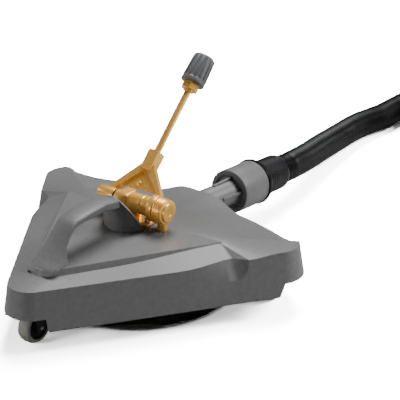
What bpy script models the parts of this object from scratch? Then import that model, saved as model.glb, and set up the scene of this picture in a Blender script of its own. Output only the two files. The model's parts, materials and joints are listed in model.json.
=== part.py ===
"""Flat surface cleaner with a dirty-water outlet: hood, spray rotor, brush ring, casters, swivel lance.

Metres, +Z up, floor at z = 0, +Y towards the operator, so the nose and its carry handle point to -Y.
Everything is placed from the rotor's axis and then shifted along Y as one, so that the origin is under
the middle of the object without its hose.
"""
import math

import bmesh
import bpy
from mathutils import Matrix, Vector

CLEAR = 0.0003              # gap left between faces that touch
UP = Vector((0, 0, 1))

# hood: plan of the skirt's bottom edge, as a triangle with round corners and a bowed rear side
NOSE_Y, NOSE_R = -0.2225, 0.0414
REAR_X, REAR_Y, REAR_R = 0.196, 0.072, 0.045
REAR_BOW = 0.040
WALL = 0.0035
SKIRT_LOW, CORNER_LOW = 0.033, 0.052    # skirt's lower edge along the sides, and over each caster
GROOVE_Z = 0.067                        # lower edge of the scoops in the sides
EDGE_Z, BLOCK_Z, CORNER_Z = 0.092, 0.0944, 0.098
VALLEY_Z, DUCT_ROOF_Z = 0.082, 0.100  # rear edge, beside the outlet and over it
DRAFT = 0.009                           # how far the walls lean in from bottom to top
SCOOP_DEPTH = 0.0155
SCOOP_START, SCOOP_END, BLOCK_FRONT = 0.195, 0.283, 0.3023   # places along a side, from the nose
STEP_NOSE, STEP_REAR = 0.0105, 0.360

# raised middle of the hood
TOP_NOSE_Y, TOP_NOSE_R = -0.185, 0.022
TOP_REAR_X, TOP_REAR_Y, TOP_REAR_R = 0.128, 0.022, 0.018
TOP_BOW = 0.030
TOP_Z, RISER_LOW, RISER_RUN = 0.105, 0.097, 0.0045
BEVEL_RUN, BEVEL_DROP = 0.014, 0.0048

# deck, brush and rotor
DECK_LOW, DECK_THICK = 0.070, 0.003
DECK_INSET, DECK_REAR_INSET = 0.028, 0.0175
BRUSH_R, BRISTLE_WIDTH, BRISTLE_SPLAY = 0.1400, 0.0070, 0.0070
HOLDER_LOW, HOLDER_WALL = 0.036, 0.0026
SHAFT_R, SHAFT_LOW, SHAFT_HIGH = 0.008, 0.031, 0.0955
BEARING_R, BEARING_HIGH = 0.0155, 0.0135
HOUSING_WALL, HOUSING_LOW, HOUSING_HIGH = 0.006, 0.052, 0.0945
HUB_R, HUB_LOW, HUB_HIGH = 0.018, 0.034, 0.048
ARM_R, ARM_REACH = 0.005, 0.108

# casters
WHEEL_R, WHEEL_WIDE, TRAIL = 0.025, 0.020, 0.016
NOSE_INSET, CASTER_INSET = 0.018, 0.015  # each caster's stem from its corner's centre, towards the rotor
FORK_GAP, FORK_PLATE = 0.0020, 0.0022
AXLE_R, STEM_R = 0.003, 0.006
CROWN_LOW, CROWN_HIGH = 0.0570, 0.0660

# high-pressure brass work, on a cross axis above the rotor
PIVOT_Y, PIVOT_Z = -0.008, 0.1365
LEAN = 45.0                             # lance's angle from upright, in degrees
PIN_R, JOURNAL_R = 0.0065, 0.0090
BOSS = (-0.0588, -0.0306, 0.0108)       # left eye: from, to, radius
TRUNNION = (-0.0270, -0.0192, 0.0112)
BLOCK = (-0.0192, 0.0000, 0.0275)      # square block: from, to, side
BARREL = (0.0000, 0.0190, 0.0135)
SLEEVE = (0.0193, 0.0382, 0.0145)
EYE = (0.0387, 0.0482, 0.0195)          # right eye: from, to, radius
ELBOW = (0.0485, 0.0628, 0.0185)
PLUG = (0.0631, 0.0690, 0.0180)
STUB_X, STUB_R = 0.0555, 0.0070
FORK_REACH, SOCKET_END, SOCKET_SIDE = 0.059, 0.081, 0.0180
TUBE_R, TUBE_BORE, TUBE_END = 0.0050, 0.0030, 0.203
HEX_LOW, HEX_HIGH, HEX_R = 0.1860, 0.1960, 0.0135
NUT_LOW, NUT_HIGH, NUT_R_LOW, NUT_R_HIGH = 0.1965, 0.2420, 0.0185, 0.0158
STEM_TUBE_R = 0.0100

# carry handle and the curved shield in front of the swivel
HANDLE_HALF, FOOT_HALF = 0.016, 0.024
SHIELD_Y, SHIELD_R, SHIELD_WALL, SHIELD_FLARE = -0.0166, 0.0355, 0.004, 0.0035
SHIELD_HALF_ANGLE, SHIELD_RISE = 76.0, 0.053

# dirty-water outlet, on an axis that falls gently towards the rear
OUTLET_Y, OUTLET_Z, OUTLET_FALL = 0.2229, 0.0705, 3.75
NECK_R, NECK_WALL, NECK_LENGTH = 0.0195, 0.0025, 0.0763
COLLAR_R, COLLAR_WALL, COLLAR_LENGTH = 0.0347, 0.0030, 0.0596
DISH_R = 0.0255                         # recess in the collar's near face
SEAL_R, SEAL_LENGTH = 0.0368, 0.0052
CUFF_R, CUFF_LENGTH, CUFF_BORE = 0.0285, 0.0620, 0.0180
HOSE_R = 0.023
COIL_X, COIL_Y, COIL_LIFT = 0.206, 0.957, 0.0015
HOSE_ROUTE = [(-0.0008, 0.389, 0.0592), (-0.0065, 0.428, 0.0545), (-0.0145, 0.466, 0.0495),
              (-0.0235, 0.504, 0.0448), (-0.0335, 0.552, 0.0388), (-0.0425, 0.601, 0.0338),
              (-0.0495, 0.640, 0.0300), (-0.0530, 0.676, 0.0272), (-0.0515, 0.710, 0.0253),
              (-0.0478, 0.738, 0.0246), (-0.0470, 0.758, 0.0245), (-0.0470, 0.780, 0.0245)]
COIL_ENTRY_Y = 0.800
END_CUFF_LENGTH, END_CUFF_R = 0.100, 0.025

for leftover in list(bpy.data.objects):
    bpy.data.objects.remove(leftover, do_unlink=True)

FRONT = NOSE_Y - NOSE_R + DRAFT * (CORNER_LOW - SKIRT_LOW) / (EDGE_Z - SKIRT_LOW)
FALL = math.radians(OUTLET_FALL)
LINE_LENGTH = COLLAR_LENGTH + SEAL_LENGTH + CUFF_LENGTH + 2 * CLEAR
BACK = OUTLET_Y + LINE_LENGTH * math.cos(FALL) + (CUFF_R - 0.003) * math.sin(FALL)
SHIFT = Vector((0, -(FRONT + BACK) / 2, 0))
base = bpy.data.objects.new("rotor_axis", None)
base.location = SHIFT
bpy.context.collection.objects.link(base)


# ---------------------------------------------------------------- materials and small helpers

def finish(name, colour, roughness, metallic=0.0):
    """A Principled material."""
    material = bpy.data.materials.new(name)
    material.use_nodes = True
    shader = material.node_tree.nodes["Principled BSDF"]
    shader.inputs["Base Color"].default_value = (*colour, 1)
    shader.inputs["Roughness"].default_value = roughness
    shader.inputs["Metallic"].default_value = metallic
    material.diffuse_color = (*colour, 1)
    return material


HOOD_GREY = finish("hood_grey", (0.25, 0.25, 0.25), 0.45)
COLLAR_GREY = finish("collar_grey", (0.22, 0.22, 0.22), 0.45)
BLACK_PLASTIC = finish("black_plastic", (0.012, 0.012, 0.012), 0.45)
BRISTLE_BLACK = finish("bristle_black", (0.015, 0.014, 0.013), 0.8)
BRASS = finish("brass", (0.80, 0.45, 0.10), 0.28, 1.0)
STEEL = finish("steel", (0.55, 0.55, 0.56), 0.3, 1.0)
DECK_STEEL = finish("deck_steel", (0.42, 0.42, 0.43), 0.4, 1.0)
TYRE_GREY = finish("tyre_grey", (0.30, 0.30, 0.27), 0.6)
RUBBER = finish("rubber", (0.010, 0.010, 0.010), 0.6)
NUT_GREY = finish("nut_grey", (0.10, 0.10, 0.105), 0.45)


def add(name, bm, material, sharp=30, matrix=None):
    """Make bm a named object under the rotor's axis; matrix is its place, from the rotor's axis."""
    bmesh.ops.recalc_face_normals(bm, faces=bm.faces)
    mesh = bpy.data.meshes.new(name)
    bm.to_mesh(mesh)
    bm.free()
    mesh.materials.append(material)
    mesh.shade_smooth()
    mesh.set_sharp_from_angle(angle=math.radians(sharp))
    piece = bpy.data.objects.new(name, mesh)
    bpy.context.collection.objects.link(piece)
    piece.parent = base
    if matrix:
        piece.matrix_local = matrix
    return piece


def combine(piece, others, operation):
    """Join others to piece, or cut them out of it, and remove them."""
    for other in others:
        step = piece.modifiers.new(operation.lower(), "BOOLEAN")
        step.operation = operation
        step.object = other
    bpy.context.view_layer.update()
    shaped = piece.evaluated_get(bpy.context.evaluated_depsgraph_get())
    mesh = bpy.data.meshes.new_from_object(shaped)
    mesh.name = piece.name
    piece.modifiers.clear()
    piece.data = mesh
    for other in others:
        bpy.data.objects.remove(other, do_unlink=True)
    mesh.shade_smooth()
    mesh.set_sharp_from_angle(angle=math.radians(30))
    return piece


def lathe(profile, sides=24):
    """Turn a closed (radius, height) outline about Z; a point on the axis stays one point."""
    bm = bmesh.new()
    rings = []
    for r, z in profile:
        if r < 1e-7:
            rings.append([bm.verts.new((0, 0, z))] * sides)
        else:
            rings.append([bm.verts.new((r * math.cos(a), r * math.sin(a), z))
                          for a in (2 * math.pi * i / sides for i in range(sides))])
    for low, high in zip(rings, rings[1:] + rings[:1]):
        for i in range(sides):
            j = (i + 1) % sides
            corners = []
            for v in (low[i], low[j], high[j], high[i]):
                if v not in corners:
                    corners.append(v)
            if len(corners) > 2:
                bm.faces.new(corners)
    return bm


def rod(r, low, high, chamfer=0.0):
    """Outline of a plain rod."""
    if chamfer:
        return [(0, low), (r - chamfer, low), (r, low + chamfer), (r, high - chamfer),
                (r - chamfer, high), (0, high)]
    return [(0, low), (r, low), (r, high), (0, high)]


def drill(r, low, high, sides=16):
    """A drill for a hole of radius r: its flat sides, not its corners, stand at r."""
    return lathe(rod(r / math.cos(math.pi / sides), low, high), sides)


def tube(r_out, r_in, low, high, chamfer=0.0):
    """Outline of a plain tube."""
    return [(r_in, low), (r_out - chamfer, low), (r_out, low + chamfer), (r_out, high - chamfer),
            (r_out - chamfer, high), (r_in, high)] if chamfer else [
            (r_in, low), (r_out, low), (r_out, high), (r_in, high)]


def prism(outline, low, high):
    """Extrude a list of (x, y) points from low to high along Z."""
    bm = bmesh.new()
    bottom = [bm.verts.new((x, y, low)) for x, y in outline]
    top = [bm.verts.new((x, y, high)) for x, y in outline]
    bm.faces.new(bottom[::-1])
    bm.faces.new(top)
    for i in range(len(outline)):
        j = (i + 1) % len(outline)
        bm.faces.new((bottom[i], bottom[j], top[j], top[i]))
    return bm


def box(low, high):
    """A box between two corners."""
    return prism([(low[0], low[1]), (high[0], low[1]), (high[0], high[1]), (low[0], high[1])],
                 low[2], high[2])


def loft(rings, closed=False):
    """Skin a list of equal rings; closed joins the last ring to the first, else the ends are capped."""
    bm = bmesh.new()
    loops = [[bm.verts.new(p) for p in ring] for ring in rings]
    count = len(loops[0])
    pairs = list(zip(loops, loops[1:])) + ([(loops[-1], loops[0])] if closed else [])
    for one, two in pairs:
        for i in range(count):
            j = (i + 1) % count
            bm.faces.new((one[i], one[j], two[j], two[i]))
    if not closed:
        bm.faces.new(loops[0][::-1])
        bm.faces.new(loops[-1])
    return bm


def polygon(sides, r, turn=0.0):
    """Corners of a regular polygon."""
    return [(r * math.cos(turn + 2 * math.pi * i / sides), r * math.sin(turn + 2 * math.pi * i / sides))
            for i in range(sides)]


def smoothstep(x):
    """0 to 1 with level ends."""
    x = min(1.0, max(0.0, x))
    return x * x * (3 - 2 * x)


ALONG_X = Matrix.Rotation(math.radians(90), 4, "Y")     # turns a piece's +Z to +X
AT_PIVOT = Matrix.Translation((0, PIVOT_Y, PIVOT_Z))
CROSS = AT_PIVOT @ ALONG_X
LANCE = AT_PIVOT @ Matrix.Rotation(-math.radians(LEAN), 4, "X")
OUTLET = (Matrix.Translation((0, OUTLET_Y, OUTLET_Z))
          @ Matrix.Rotation(-math.radians(90 + OUTLET_FALL), 4, "X"))


# ---------------------------------------------------------------- hood

class Triangle:
    """Half plan of a round-cornered triangle with a bowed rear side; leg is 0-1 the nose's arc, 1-2 the
    side, 2-3 the rear corner's arc, 3-4 the rear side."""

    def __init__(self, nose_y, nose_r, rear_x, rear_y, rear_r, bow):
        self.nose, self.nose_r = Vector((0, nose_y)), nose_r
        self.rear, self.rear_r = Vector((rear_x, rear_y)), rear_r
        run = self.rear - self.nose
        self.along = run.normalized()
        lean = (nose_r - rear_r) / run.length
        self.normal = Vector((self.along.y, -self.along.x)) * math.sqrt(1 - lean * lean) + self.along * lean
        self.side_angle = math.atan2(self.normal.y, self.normal.x)
        self.start = self.nose + self.normal * nose_r
        self.side = (self.rear + self.normal * rear_r - self.start).length
        self.back_y = rear_y + rear_r + bow
        drop = rear_y - self.back_y
        self.back_r = (rear_x ** 2 + drop ** 2 - rear_r ** 2) / (2 * bow)
        self.back_centre = Vector((0, self.back_y - self.back_r))
        self.back_angle = math.atan2(rear_y - self.back_centre.y, rear_x)

    def at(self, leg, inset=0.0):
        """Point at a place round the plan, moved in by inset, and its outward normal."""
        if leg <= 1:
            angle = -math.pi / 2 + leg * (self.side_angle + math.pi / 2)
            return self._arc(self.nose, self.nose_r, angle, inset)
        if leg <= 2:
            point = self.start + (self.rear + self.normal * self.rear_r - self.start) * (leg - 1)
            return point - self.normal * inset, self.normal
        if leg <= 3:
            angle = self.side_angle + (leg - 2) * (self.back_angle - self.side_angle)
            return self._arc(self.rear, self.rear_r, angle, inset)
        angle = self.back_angle + (leg - 3) * (math.pi / 2 - self.back_angle)
        return self._arc(self.back_centre, self.back_r, angle, inset)

    @staticmethod
    def _arc(centre, r, angle, inset):
        normal = Vector((math.cos(angle), math.sin(angle)))
        return centre + normal * (r - inset), normal


SKIRT = Triangle(NOSE_Y, NOSE_R, REAR_X, REAR_Y, REAR_R, REAR_BOW)
TOP = Triangle(TOP_NOSE_Y, TOP_NOSE_R, TOP_REAR_X, TOP_REAR_Y, TOP_REAR_R, TOP_BOW)


def hood_legs():
    """Places round the half plan where the hood has an edge line, from the nose's middle to the back's."""
    marks = [0.0, STEP_NOSE, STEP_NOSE + 0.002, 0.100, SCOOP_START, 0.225, 0.250, 0.268,
             SCOOP_END, 0.291, BLOCK_FRONT, 0.325, STEP_REAR]
    return ([i / 5 for i in range(5)] + [1 + m / SKIRT.side for m in marks]
            + [2 + i / 6 for i in range(6)] + [3, 3.08, 3.25, 3.45, 3.62, 3.72, 3.82, 3.92, 4])


def hood_column(leg, wall=0.0):
    """Points of the hood from its lower edge to the raised middle, at one place round the plan."""
    run = (leg - 1) * SKIRT.side if 1 <= leg <= 2 else None
    over_corner = leg < 1 or 2 <= leg <= 3.05 or (run is not None and (run <= STEP_NOSE + 1e-6
                                                                       or run > STEP_REAR - 1e-6))
    low = CORNER_LOW if over_corner else SKIRT_LOW
    tall = EDGE_Z - SKIRT_LOW
    scoop, groove, edge = 0.0, GROOVE_Z, EDGE_Z
    on_top = leg
    if run is not None:
        on_top = 1 + run / SCOOP_END
        if run >= SCOOP_END:
            on_top = 2.0
        if run > BLOCK_FRONT:
            on_top = 2 + 0.6 * (run - BLOCK_FRONT) / (SKIRT.side - BLOCK_FRONT)
        if run <= SCOOP_END:
            scoop = SCOOP_DEPTH * smoothstep((run - SCOOP_START) / (SCOOP_END - SCOOP_START)) ** 1.5
            edge += 0.0008 * scoop / SCOOP_DEPTH
        elif run <= BLOCK_FRONT:
            out = (run - SCOOP_END) / (BLOCK_FRONT - SCOOP_END)
            scoop = SCOOP_DEPTH * (1 - out)
            edge += 0.0008 + (BLOCK_Z - EDGE_Z - 0.0008) * out
            groove = GROOVE_Z + (BLOCK_Z - 0.0012 - GROOVE_Z) * (1 - math.sqrt(1 - out ** 2))
        else:
            edge = BLOCK_Z + (CORNER_Z - BLOCK_Z) * smoothstep((run - BLOCK_FRONT) / 0.045)
    elif 2 < leg <= 3:
        on_top = 2.6 + 0.4 * (leg - 2)
        edge = CORNER_Z + (VALLEY_Z - CORNER_Z) * smoothstep((leg - 2.75) / 0.45)
    elif leg > 3:
        edge = CORNER_Z + (VALLEY_Z - CORNER_Z) * smoothstep((leg - 2.75) / 0.45)
        edge += (DUCT_ROOF_Z - VALLEY_Z) * smoothstep((leg - 3.62) / 0.28)

    def wall_point(z, extra=0.0):
        inset = DRAFT * (z - SKIRT_LOW) / tall + extra + wall
        point, _ = SKIRT.at(leg, inset)
        return Vector((point.x, point.y, z - (wall if extra or z >= edge else 0)))

    rim, normal = TOP.at(on_top)
    fade = smoothstep((on_top - 1.35) / 0.65) if on_top < 2 else 1.0
    if on_top <= 2:
        reach, foot = RISER_RUN * (1 - 0.7 * fade), RISER_LOW + (TOP_Z - 0.0015 - RISER_LOW) * fade
    else:
        round_corner = smoothstep((on_top - 2) * 2.5) * (1 - 0.45 * smoothstep(on_top - 3))
        reach, foot = 0.00135 + BEVEL_RUN * round_corner, TOP_Z - 0.0015 - (BEVEL_DROP - 0.0015) * round_corner
    outer = rim + normal * reach
    return [wall_point(low), wall_point(groove), wall_point(edge, scoop),
            Vector((outer.x, outer.y, foot - wall)), Vector((rim.x, rim.y, TOP_Z - wall)),
            Vector((rim.x * 0.45, rim.y * 0.45, TOP_Z + 0.0008 - wall)),
            Vector((0.0125 * rim.x / rim.length, 0.0125 * rim.y / rim.length, TOP_Z + 0.0008 - wall))]


def ring_of(column, index):
    """One closed ring of hood points, right half then the left half mirrored."""
    half = [c[index] for c in column]
    return half + [Vector((-p.x, p.y, p.z)) for p in half[-2:0:-1]]


def make_hood():
    """The moulded hood: an outer and an inner skin joined at the lower edge and at the stem's hole."""
    legs = hood_legs()
    outside = [hood_column(leg) for leg in legs]
    inside = [hood_column(leg, WALL) for leg in legs]
    levels = range(len(outside[0]))
    rings = [ring_of(outside, i) for i in levels] + [ring_of(inside, i) for i in reversed(levels)]
    hood = add("hood_shell", loft(rings, closed=True), HOOD_GREY)
    bosses = [add("boss", lathe(rod(BOSS_R, DECK_TOP + CLEAR, TOP_Z - 0.0015), 12), HOOD_GREY,
                  matrix=Matrix.Translation((x, y, 0))) for x, y in BOSS_PLACES]
    combine(hood, bosses, "UNION")
    holes = [add("neck_hole", drill(NECK_R + 0.0012, -NECK_LENGTH - 0.012, -NECK_LENGTH + 0.03, 22),
                 HOOD_GREY, matrix=OUTLET),
             add("stub_hole", drill(FEED_R + 0.0007, TOP_Z - 0.012, TOP_Z + 0.012, 14), HOOD_GREY,
                 matrix=Matrix.Translation((STUB_X, PIVOT_Y, 0)))]
    holes += [add("pilot", drill(SCREW_R + CLEAR, DECK_TOP - 0.005, DECK_TOP + 0.016, 10), HOOD_GREY,
                  matrix=Matrix.Translation((x, y, 0))) for x, y in BOSS_PLACES]
    holes += [add("pilot", drill(SCREW_R + CLEAR, TOP_Z - 0.012, TOP_Z + 0.012, 10), HOOD_GREY,
                  matrix=Matrix.Translation((x, PIVOT_Y, 0))) for x in FLANGE_SCREWS]
    combine(hood, holes, "DIFFERENCE")


DECK_TOP = DECK_LOW + DECK_THICK
BOSS_R, SCREW_R = 0.0055, 0.0020
BOSS_PLACES = [(0, -0.150), (0.116, 0.030), (-0.116, 0.030)]
FEED_R = 0.0060
FLANGE_SCREWS = (-0.0215, 0.0255)
make_hood()


def make_handle():
    """The carry handle with the shield it runs into, moulded together."""
    top = TOP_Z + CLEAR + 0.0008
    profile = [((-0.2065, top), (-0.1670, top), FOOT_HALF + 0.001, FOOT_HALF),
               ((-0.1935, 0.1115), (-0.1680, 0.1120), FOOT_HALF - 0.001, FOOT_HALF - 0.003),
               ((-0.1820, 0.1205), (-0.1675, 0.1195), 0.0215, 0.0190),
               ((-0.1720, 0.1300), (-0.1640, 0.1280), 0.0200, 0.0150),
               ((-0.1620, 0.1425), (-0.1550, 0.1370), 0.0180, HANDLE_HALF - 0.003),
               ((-0.1540, 0.1530), (-0.1470, 0.1440), HANDLE_HALF, HANDLE_HALF - 0.002),
               ((-0.1450, 0.1590), (-0.1360, 0.1480), HANDLE_HALF, HANDLE_HALF - 0.002),
               ((-0.1150, 0.1620), (-0.1120, 0.1490), HANDLE_HALF, HANDLE_HALF - 0.002),
               ((-0.0820, 0.1640), (-0.0820, 0.1490), HANDLE_HALF, HANDLE_HALF - 0.001),
               ((-0.0560, 0.1600), (-0.0535, 0.1440), HANDLE_HALF, HANDLE_HALF)]
    rings = []
    for (y_out, z_out), (y_in, z_in), half_out, half_in in profile:
        outer, inner = Vector((0, y_out, z_out)), Vector((0, y_in, z_in))
        across = (inner - outer) * 0.22
        ring = []
        for side in (1, -1):
            soft = [(outer, 0.72 * half_out), (outer + across, half_out),
                    (inner - across, 0.5 * (half_out + half_in)), (inner, 0.75 * half_in)]
            ring += [Vector((side * x, p.y, p.z)) for p, x in (soft if side > 0 else soft[::-1])]
        rings.append(ring)
    bow = add("carry_handle", loft(rings), HOOD_GREY)
    ribs = 18
    rings = []
    for i in range(ribs + 1):
        share = -1 + 2 * i / ribs
        turn = math.radians(SHIELD_HALF_ANGLE * share)
        rise = top + SHIELD_RISE * math.cos(share * math.pi / 2) + 0.0015
        ring = []
        for r, z in ((0, top), (SHIELD_FLARE, rise), (SHIELD_FLARE - SHIELD_WALL, rise), (-SHIELD_WALL, top)):
            reach = SHIELD_R + r
            ring.append(Vector((reach * math.sin(turn), SHIELD_Y - reach * math.cos(turn), z)))
        rings.append(ring)
    combine(bow, [add("shield", loft(rings), HOOD_GREY)], "UNION")


make_handle()


# ---------------------------------------------------------------- deck, brush and rotor

def make_deck():
    """The steel deck that carries the casters, the brush and the rotor."""
    outline = []
    for leg in [i / 5 for i in range(5)] + [1, 1.5] + [2 + i / 5 for i in range(5)] + [3 + i / 6 for i in range(7)]:
        inset = DECK_INSET + (DECK_REAR_INSET - DECK_INSET) * smoothstep(leg - 2.3)
        outline.append(SKIRT.at(leg, inset)[0])
    outline += [Vector((-p.x, p.y)) for p in outline[-2:0:-1]]
    deck = add("deck_plate", prism(outline, DECK_LOW, DECK_TOP), DECK_STEEL)
    low, high = DECK_LOW - 0.01, DECK_TOP + 0.01
    holes = [(0, 0, BEARING_R + HOUSING_WALL + CLEAR)] + [(x, y, STEM_R + CLEAR) for x, y in CASTERS.values()]
    holes += [(x, y, SCREW_R + CLEAR) for x, y in BOSS_PLACES]
    cutters = [add("hole", drill(r, low, high, 16), DECK_STEEL, matrix=Matrix.Translation((x, y, 0)))
               for x, y, r in holes]
    wide, deep = DUCT_HALF_X - 0.003, DUCT_HALF_Y - 0.003
    cutters.append(add("port", box((-wide, DUCT_Y - deep, low), (wide, DUCT_Y + deep, high)), DECK_STEEL))
    combine(deck, cutters, "DIFFERENCE")


def caster_places():
    """Stem of each caster: in from its corner's centre, towards the rotor."""
    places = {}
    for name, centre in (("front", Vector((0, NOSE_Y + NOSE_INSET))),
                         ("rear_right", Vector((REAR_X, REAR_Y))), ("rear_left", Vector((-REAR_X, REAR_Y)))):
        inset = 0 if name == "front" else CASTER_INSET
        places[name] = centre - centre.normalized() * inset
    return {name: (place.x, place.y) for name, place in places.items()}


CASTERS = caster_places()
DUCT_Y, DUCT_HALF_X, DUCT_HALF_Y = 0.110, 0.030, 0.013
make_deck()

for index, (x, y) in enumerate(BOSS_PLACES, 1):
    outline = [(0, -0.0035), (0.0045, -0.0035), (0.0045, -0.0012), (0.0036, -CLEAR), (SCREW_R, -CLEAR),
               (SCREW_R, 0.0150), (0, 0.0162)]
    add(f"deck_screw_{index}", lathe([(r, DECK_LOW + z) for r, z in outline], 12), STEEL,
        matrix=Matrix.Translation((x, y, 0)))

holder_r = BRUSH_R + CLEAR + HOLDER_WALL
add("brush_holder", lathe([(BRUSH_R - 0.012, DECK_LOW - CLEAR - HOLDER_WALL),
                           (BRUSH_R + CLEAR, DECK_LOW - CLEAR - HOLDER_WALL), (BRUSH_R + CLEAR, HOLDER_LOW),
                           (holder_r, HOLDER_LOW), (holder_r, DECK_LOW - CLEAR),
                           (BRUSH_R - 0.012, DECK_LOW - CLEAR)], 48), BLACK_PLASTIC)
bristle_top = DECK_LOW - HOLDER_WALL - 2 * CLEAR
add("brush_ring", lathe([(BRUSH_R - BRISTLE_WIDTH, bristle_top), (BRUSH_R - BRISTLE_WIDTH, 0.030),
                         (BRUSH_R - BRISTLE_WIDTH + 0.001, 0), (BRUSH_R + BRISTLE_SPLAY, 0),
                         (BRUSH_R + 0.4 * BRISTLE_SPLAY, 0.020), (BRUSH_R, HOLDER_LOW - 0.001),
                         (BRUSH_R, bristle_top)], 48), BRISTLE_BLACK)

housing_r = BEARING_R + HOUSING_WALL
bore = BEARING_R + CLEAR
add("bearing_housing", lathe([(SHAFT_R + 0.0012, HOUSING_LOW), (housing_r, HOUSING_LOW),
                              (housing_r, DECK_TOP + CLEAR), (housing_r + 0.012, DECK_TOP + CLEAR),
                              (housing_r + 0.012, DECK_TOP + 0.0055), (housing_r, DECK_TOP + 0.0055),
                              (housing_r, HOUSING_HIGH), (bore, HOUSING_HIGH), (bore, HOUSING_LOW + 0.003),
                              (SHAFT_R + 0.0012, HOUSING_LOW + 0.003)], 26), DECK_STEEL)
stack = HOUSING_LOW + 0.003 + CLEAR
for name, tall, material in (("shaft_seal", 0.005, RUBBER), ("lower_bearing", BEARING_HIGH, STEEL),
                             ("upper_bearing", BEARING_HIGH, STEEL)):
    add(name, lathe(tube(BEARING_R, SHAFT_R + CLEAR, stack, stack + tall, 0.0006), 18), material)
    stack += tall + CLEAR
add("shaft_circlip", lathe(tube(SHAFT_R + 0.0035, SHAFT_R + CLEAR, stack, stack + 0.0012), 16), STEEL)
add("rotor_shaft", lathe([(0.0032, SHAFT_LOW), (0.0065, SHAFT_LOW), (SHAFT_R, SHAFT_LOW + 0.0015),
                          (SHAFT_R, SHAFT_HIGH), (0.0032, SHAFT_HIGH)], 18), STEEL)
add("rotor_hub", lathe(tube(HUB_R, SHAFT_R + CLEAR, HUB_LOW, HUB_HIGH, 0.0015), 22), STEEL)
arm_z = (HUB_LOW + HUB_HIGH) / 2
for name, turn in (("right", 0), ("left", 180)):
    spin = Matrix.Rotation(math.radians(turn), 4, "Z")
    add(f"spray_arm_{name}", lathe(tube(ARM_R, 0.0022, HUB_R + CLEAR, ARM_REACH, 0.0006), 12), STEEL,
        matrix=Matrix.Translation((0, 0, arm_z)) @ spin @ ALONG_X)
    add(f"spray_nozzle_{name}", lathe([(0, arm_z + 0.0085), (0.0078, arm_z + 0.0085), (0.0078, arm_z - 0.0085),
                                       (0.0045, arm_z - 0.017), (0.0016, arm_z - 0.0185), (0, arm_z - 0.0185)], 12),
        BRASS, matrix=spin @ Matrix.Translation((ARM_REACH + CLEAR + 0.0078, 0, 0)))


# ---------------------------------------------------------------- casters

def make_caster(name, x, y):
    """A swivel caster: stem on the deck, fork, axle, rim and tyre; the front one trails to the front."""
    turned_back = 0 if name == "front" else 180
    here = Matrix.Translation((x, y, 0)) @ Matrix.Rotation(math.radians(turned_back), 4, "Z")
    add(f"{name}_caster_stem", lathe([(0, CROWN_LOW + 0.001), (STEM_R, CROWN_LOW + 0.001),
                                      (STEM_R, CROWN_HIGH + CLEAR), (0.0115, CROWN_HIGH + CLEAR),
                                      (0.0115, DECK_LOW - CLEAR), (STEM_R, DECK_LOW - CLEAR),
                                      (STEM_R, DECK_TOP + 0.0055), (STEM_R - 0.0015, DECK_TOP + 0.0070),
                                      (0, DECK_TOP + 0.0070)], 14), STEEL, matrix=here)
    inner = WHEEL_WIDE / 2 + FORK_GAP
    outer = inner + FORK_PLATE
    hub = Vector((-TRAIL, WHEEL_R))
    foot = [(hub.x + 0.0085 * math.cos(a), hub.y + 0.0085 * math.sin(a))
            for a in (math.radians(d) for d in range(190, 361, 34))]
    cheek = [(0.0135, CROWN_HIGH - 0.0025), (-0.0135, CROWN_HIGH - 0.0025), (-0.0255, 0.040)] + foot
    turned = Matrix(((0, 0, 1, 0), (1, 0, 0, 0), (0, 1, 0, 0), (0, 0, 0, 1)))
    fork = add(f"{name}_caster_fork", prism(cheek, -outer, outer), BLACK_PLASTIC, matrix=here @ turned)
    crown = add("crown", lathe(rod(0.0150, CROWN_LOW + 0.002, CROWN_HIGH, 0.001), 18), BLACK_PLASTIC, matrix=here)
    combine(fork, [crown], "UNION")
    slot = [(0.03, CROWN_LOW), (-0.035, CROWN_LOW), (-0.060, 0.040), (-0.060, -0.01), (0.03, -0.01)]
    cutters = [add("slot", prism(slot, -inner, inner), BLACK_PLASTIC, matrix=here @ turned),
               add("bore", drill(STEM_R + CLEAR, 0.04, 0.09, 14), BLACK_PLASTIC, matrix=here)]
    axle = here @ Matrix.Translation((0, -TRAIL, WHEEL_R)) @ ALONG_X
    cutters.append(add("bore", drill(AXLE_R + CLEAR, -0.03, 0.03, 12), BLACK_PLASTIC, matrix=axle))
    combine(fork, cutters, "DIFFERENCE")
    add(f"{name}_caster_axle", lathe(rod(AXLE_R, -outer - 0.0015, outer + 0.0015, 0.0006), 12), STEEL, matrix=axle)
    half = WHEEL_WIDE / 2
    rim_r = 0.72 * WHEEL_R
    add(f"{name}_caster_rim", lathe([(AXLE_R + CLEAR, -half), (0.0072, -half), (0.0072, 0.0035 - half),
                                     (rim_r - 0.002, 0.0035 - half), (rim_r - 0.001, 0.0006 - half),
                                     (rim_r, 0.0006 - half), (rim_r, half - 0.0006), (rim_r - 0.001, half - 0.0006),
                                     (rim_r - 0.002, half - 0.0035), (0.0072, half - 0.0035), (0.0072, half),
                                     (AXLE_R + CLEAR, half)], 18), BLACK_PLASTIC, matrix=axle)
    tread = [(WHEEL_R - 0.0035 * (1 - math.cos(math.asin(min(1, abs(t))))), half * t)
             for t in (-0.92, -0.7, -0.35, 0, 0.35, 0.7, 0.92)]
    add(f"{name}_caster_tyre", lathe([(rim_r + CLEAR, -half + 0.0004)] + tread + [(rim_r + CLEAR, half - 0.0004)], 24),
        TYRE_GREY, matrix=axle)


for caster, place in CASTERS.items():
    make_caster(caster, *place)


# ---------------------------------------------------------------- brass work

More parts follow.
